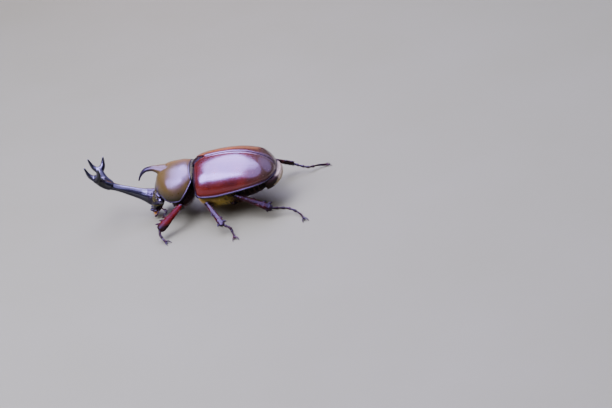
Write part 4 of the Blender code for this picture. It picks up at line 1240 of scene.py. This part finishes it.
def belly_hair():
    """Rows of short hair along the hind edges of the belly rings."""
    coat = Coat()
    n = 240
    for ring in STERNITES[1:-1]:
        w = np.pi + rng.uniform(0.05, 0.95, n) * np.pi
        y = ring - rng.uniform(0.15, 0.45, n)
        roots = trunk_points(y, w, -0.03)
        normal = unit(roots * (1, 0, 1) - (0, 0, 11.0))
        ways = normal * 0.35 + (0, 1, 0) + scatter(n, 0.15)
        coat.add(roots, ways, rng.uniform(0.35, 0.8, n), 0.024, normal * -0.1,
                 together(w / (2 * np.pi), (y - 12) / 11), rows=3)
    coat.finish("belly_hair", RUST_HAIR)


def brow_hair():
    """Short golden down on the brow behind the horn and on the cheeks."""
    n = 4200
    z = rng.uniform(4.8, 9.8, n)
    w = rng.uniform(-0.5, 0.5, n) * np.pi + np.where(rng.uniform(0, 1, n) < 0.5, 0, np.pi)
    roots = head_skin(z, w)
    outward = unit(roots - HEAD_CORE)
    keep = (roots[:, 1] < -12.8) | (z > 7.5)
    ways = outward * 0.8 + (0, 0.2, 0.5) + scatter(n, 0.25)
    uv = together((w / (2 * np.pi)) % 1, (z - HEAD_FOOT) / 7.5)
    roots, outward, ways, uv = roots[keep], outward[keep], ways[keep], uv[keep]
    Coat().add(roots - outward * 0.05, ways, rng.uniform(0.20, 0.48, len(roots)), 0.027, 0.1 * outward,
               uv, rows=3).finish("brow_hair", GOLD_HAIR)


# ------------------------ stage
CAMERA_AIM = (4.74, 30.55, -0.32)        # millimetres in the row frame
CAMERA_AZIMUTH, CAMERA_ELEVATION, CAMERA_ROLL = 96.606, 26.01, -10.142
CAMERA_DISTANCE, CAMERA_LENS, SENSOR = 466.9, 85.0, 36.0
LAVENDER, WARM = (0.45, 0.40, 1.0), (1.0, 0.46, 0.22)
# name, place, what it faces, size, turn about the vertical, radiance, colour
LAMPS = (
    ("sky_long", (-190, -45, 480), (-190, -45, 0), (830, 330), -4, 22.0, LAVENDER),
    ("sky_front", (320, -300, 480), (320, -300, 0), (780, 410), -48, 38.0, LAVENDER),
    ("sky_rear", (-230, 140, 480), (-230, 140, 0), (500, 240), 0, 10.0, LAVENDER),
    ("sky_tail", (150, 190, 480), (150, 190, 0), (860, 560), 0, 4.0, LAVENDER),
    ("cool_back", (-340, 400, 280), (0, 20, 15), (520, 360), 50, 1.5, LAVENDER),
    ("warm_back", (-420, -60, 80), (0, -10, 15), (260, 110), 90, 1.9, WARM))


def camera():
    data = bpy.data.cameras.new("camera")
    data.lens, data.sensor_width = CAMERA_LENS, SENSOR
    data.clip_start, data.clip_end = 0.01, 20.0
    cam = bpy.data.objects.new("camera", data)
    a, e = math.radians(CAMERA_AZIMUTH), math.radians(CAMERA_ELEVATION)
    back = Vector((math.sin(a) * math.cos(e), -math.cos(a) * math.cos(e), math.sin(e)))
    cam.location = (Vector(CAMERA_AIM) + back * CAMERA_DISTANCE) * MM
    cam.rotation_mode = "QUATERNION"
    cam.rotation_quaternion = (back.to_track_quat("Z", "Y")
                               @ Quaternion(Vector((0, 0, 1)), math.radians(CAMERA_ROLL)))
    bpy.context.scene.collection.objects.link(cam)
    bpy.context.scene.camera = cam


def soft_light(name, place, aim, size, turn, radiance, colour):
    """Oval lamp, its long side turned about the vertical, as bright as its radiance says."""
    data = bpy.data.lights.new(name, "AREA")
    data.shape = "ELLIPSE"
    data.size, data.size_y = size[0] * MM, size[1] * MM
    data.energy = radiance * math.pi * math.pi / 4 * data.size * data.size_y
    data.color = colour
    light = bpy.data.objects.new(name, data)
    way = (Vector(place) - Vector(aim)).normalized()
    along = Vector((math.cos(math.radians(turn)), math.sin(math.radians(turn)), 0.0))
    up = way.cross(along).normalized()
    light.matrix_world = (Matrix.Translation(Vector(place) * MM)
                          @ Matrix((up.cross(way), up, way)).transposed().to_4x4())
    bpy.context.scene.collection.objects.link(light)


def stage():
    bpy.ops.mesh.primitive_plane_add(size=6.0, location=(0, 0, FLOOR * MM))
    floor = bpy.context.object
    floor.name = "floor"
    floor.data.materials.append(floor_material())
    world = bpy.data.worlds.new("studio")
    bpy.context.scene.world = world
    world.use_nodes = True
    sky = world.node_tree.nodes["Background"]
    sky.inputs["Color"].default_value = (0.88, 0.90, 1.0, 1.0)
    sky.inputs["Strength"].default_value = 0.06
    for lamp in LAMPS:
        soft_light(*lamp)
    camera()


def build():
    for side, word in SIDES:
        elytron(side, word)
    for make in (scutellum, metathorax, abdomen, pygidium, pronotum, prosternum, head, eyes, antennae,
                 palps, mouth):
        make()
    for label, pose, changes in LEGS:
        leg(label + "_left", 1, pose)
        leg(label + "_right", -1, mirrored(pose, **changes))
    for make in (breast_hair, throat_hair, neck_fringe, rump_fringe, belly_hair, brow_hair):
        make()


build()
stage()
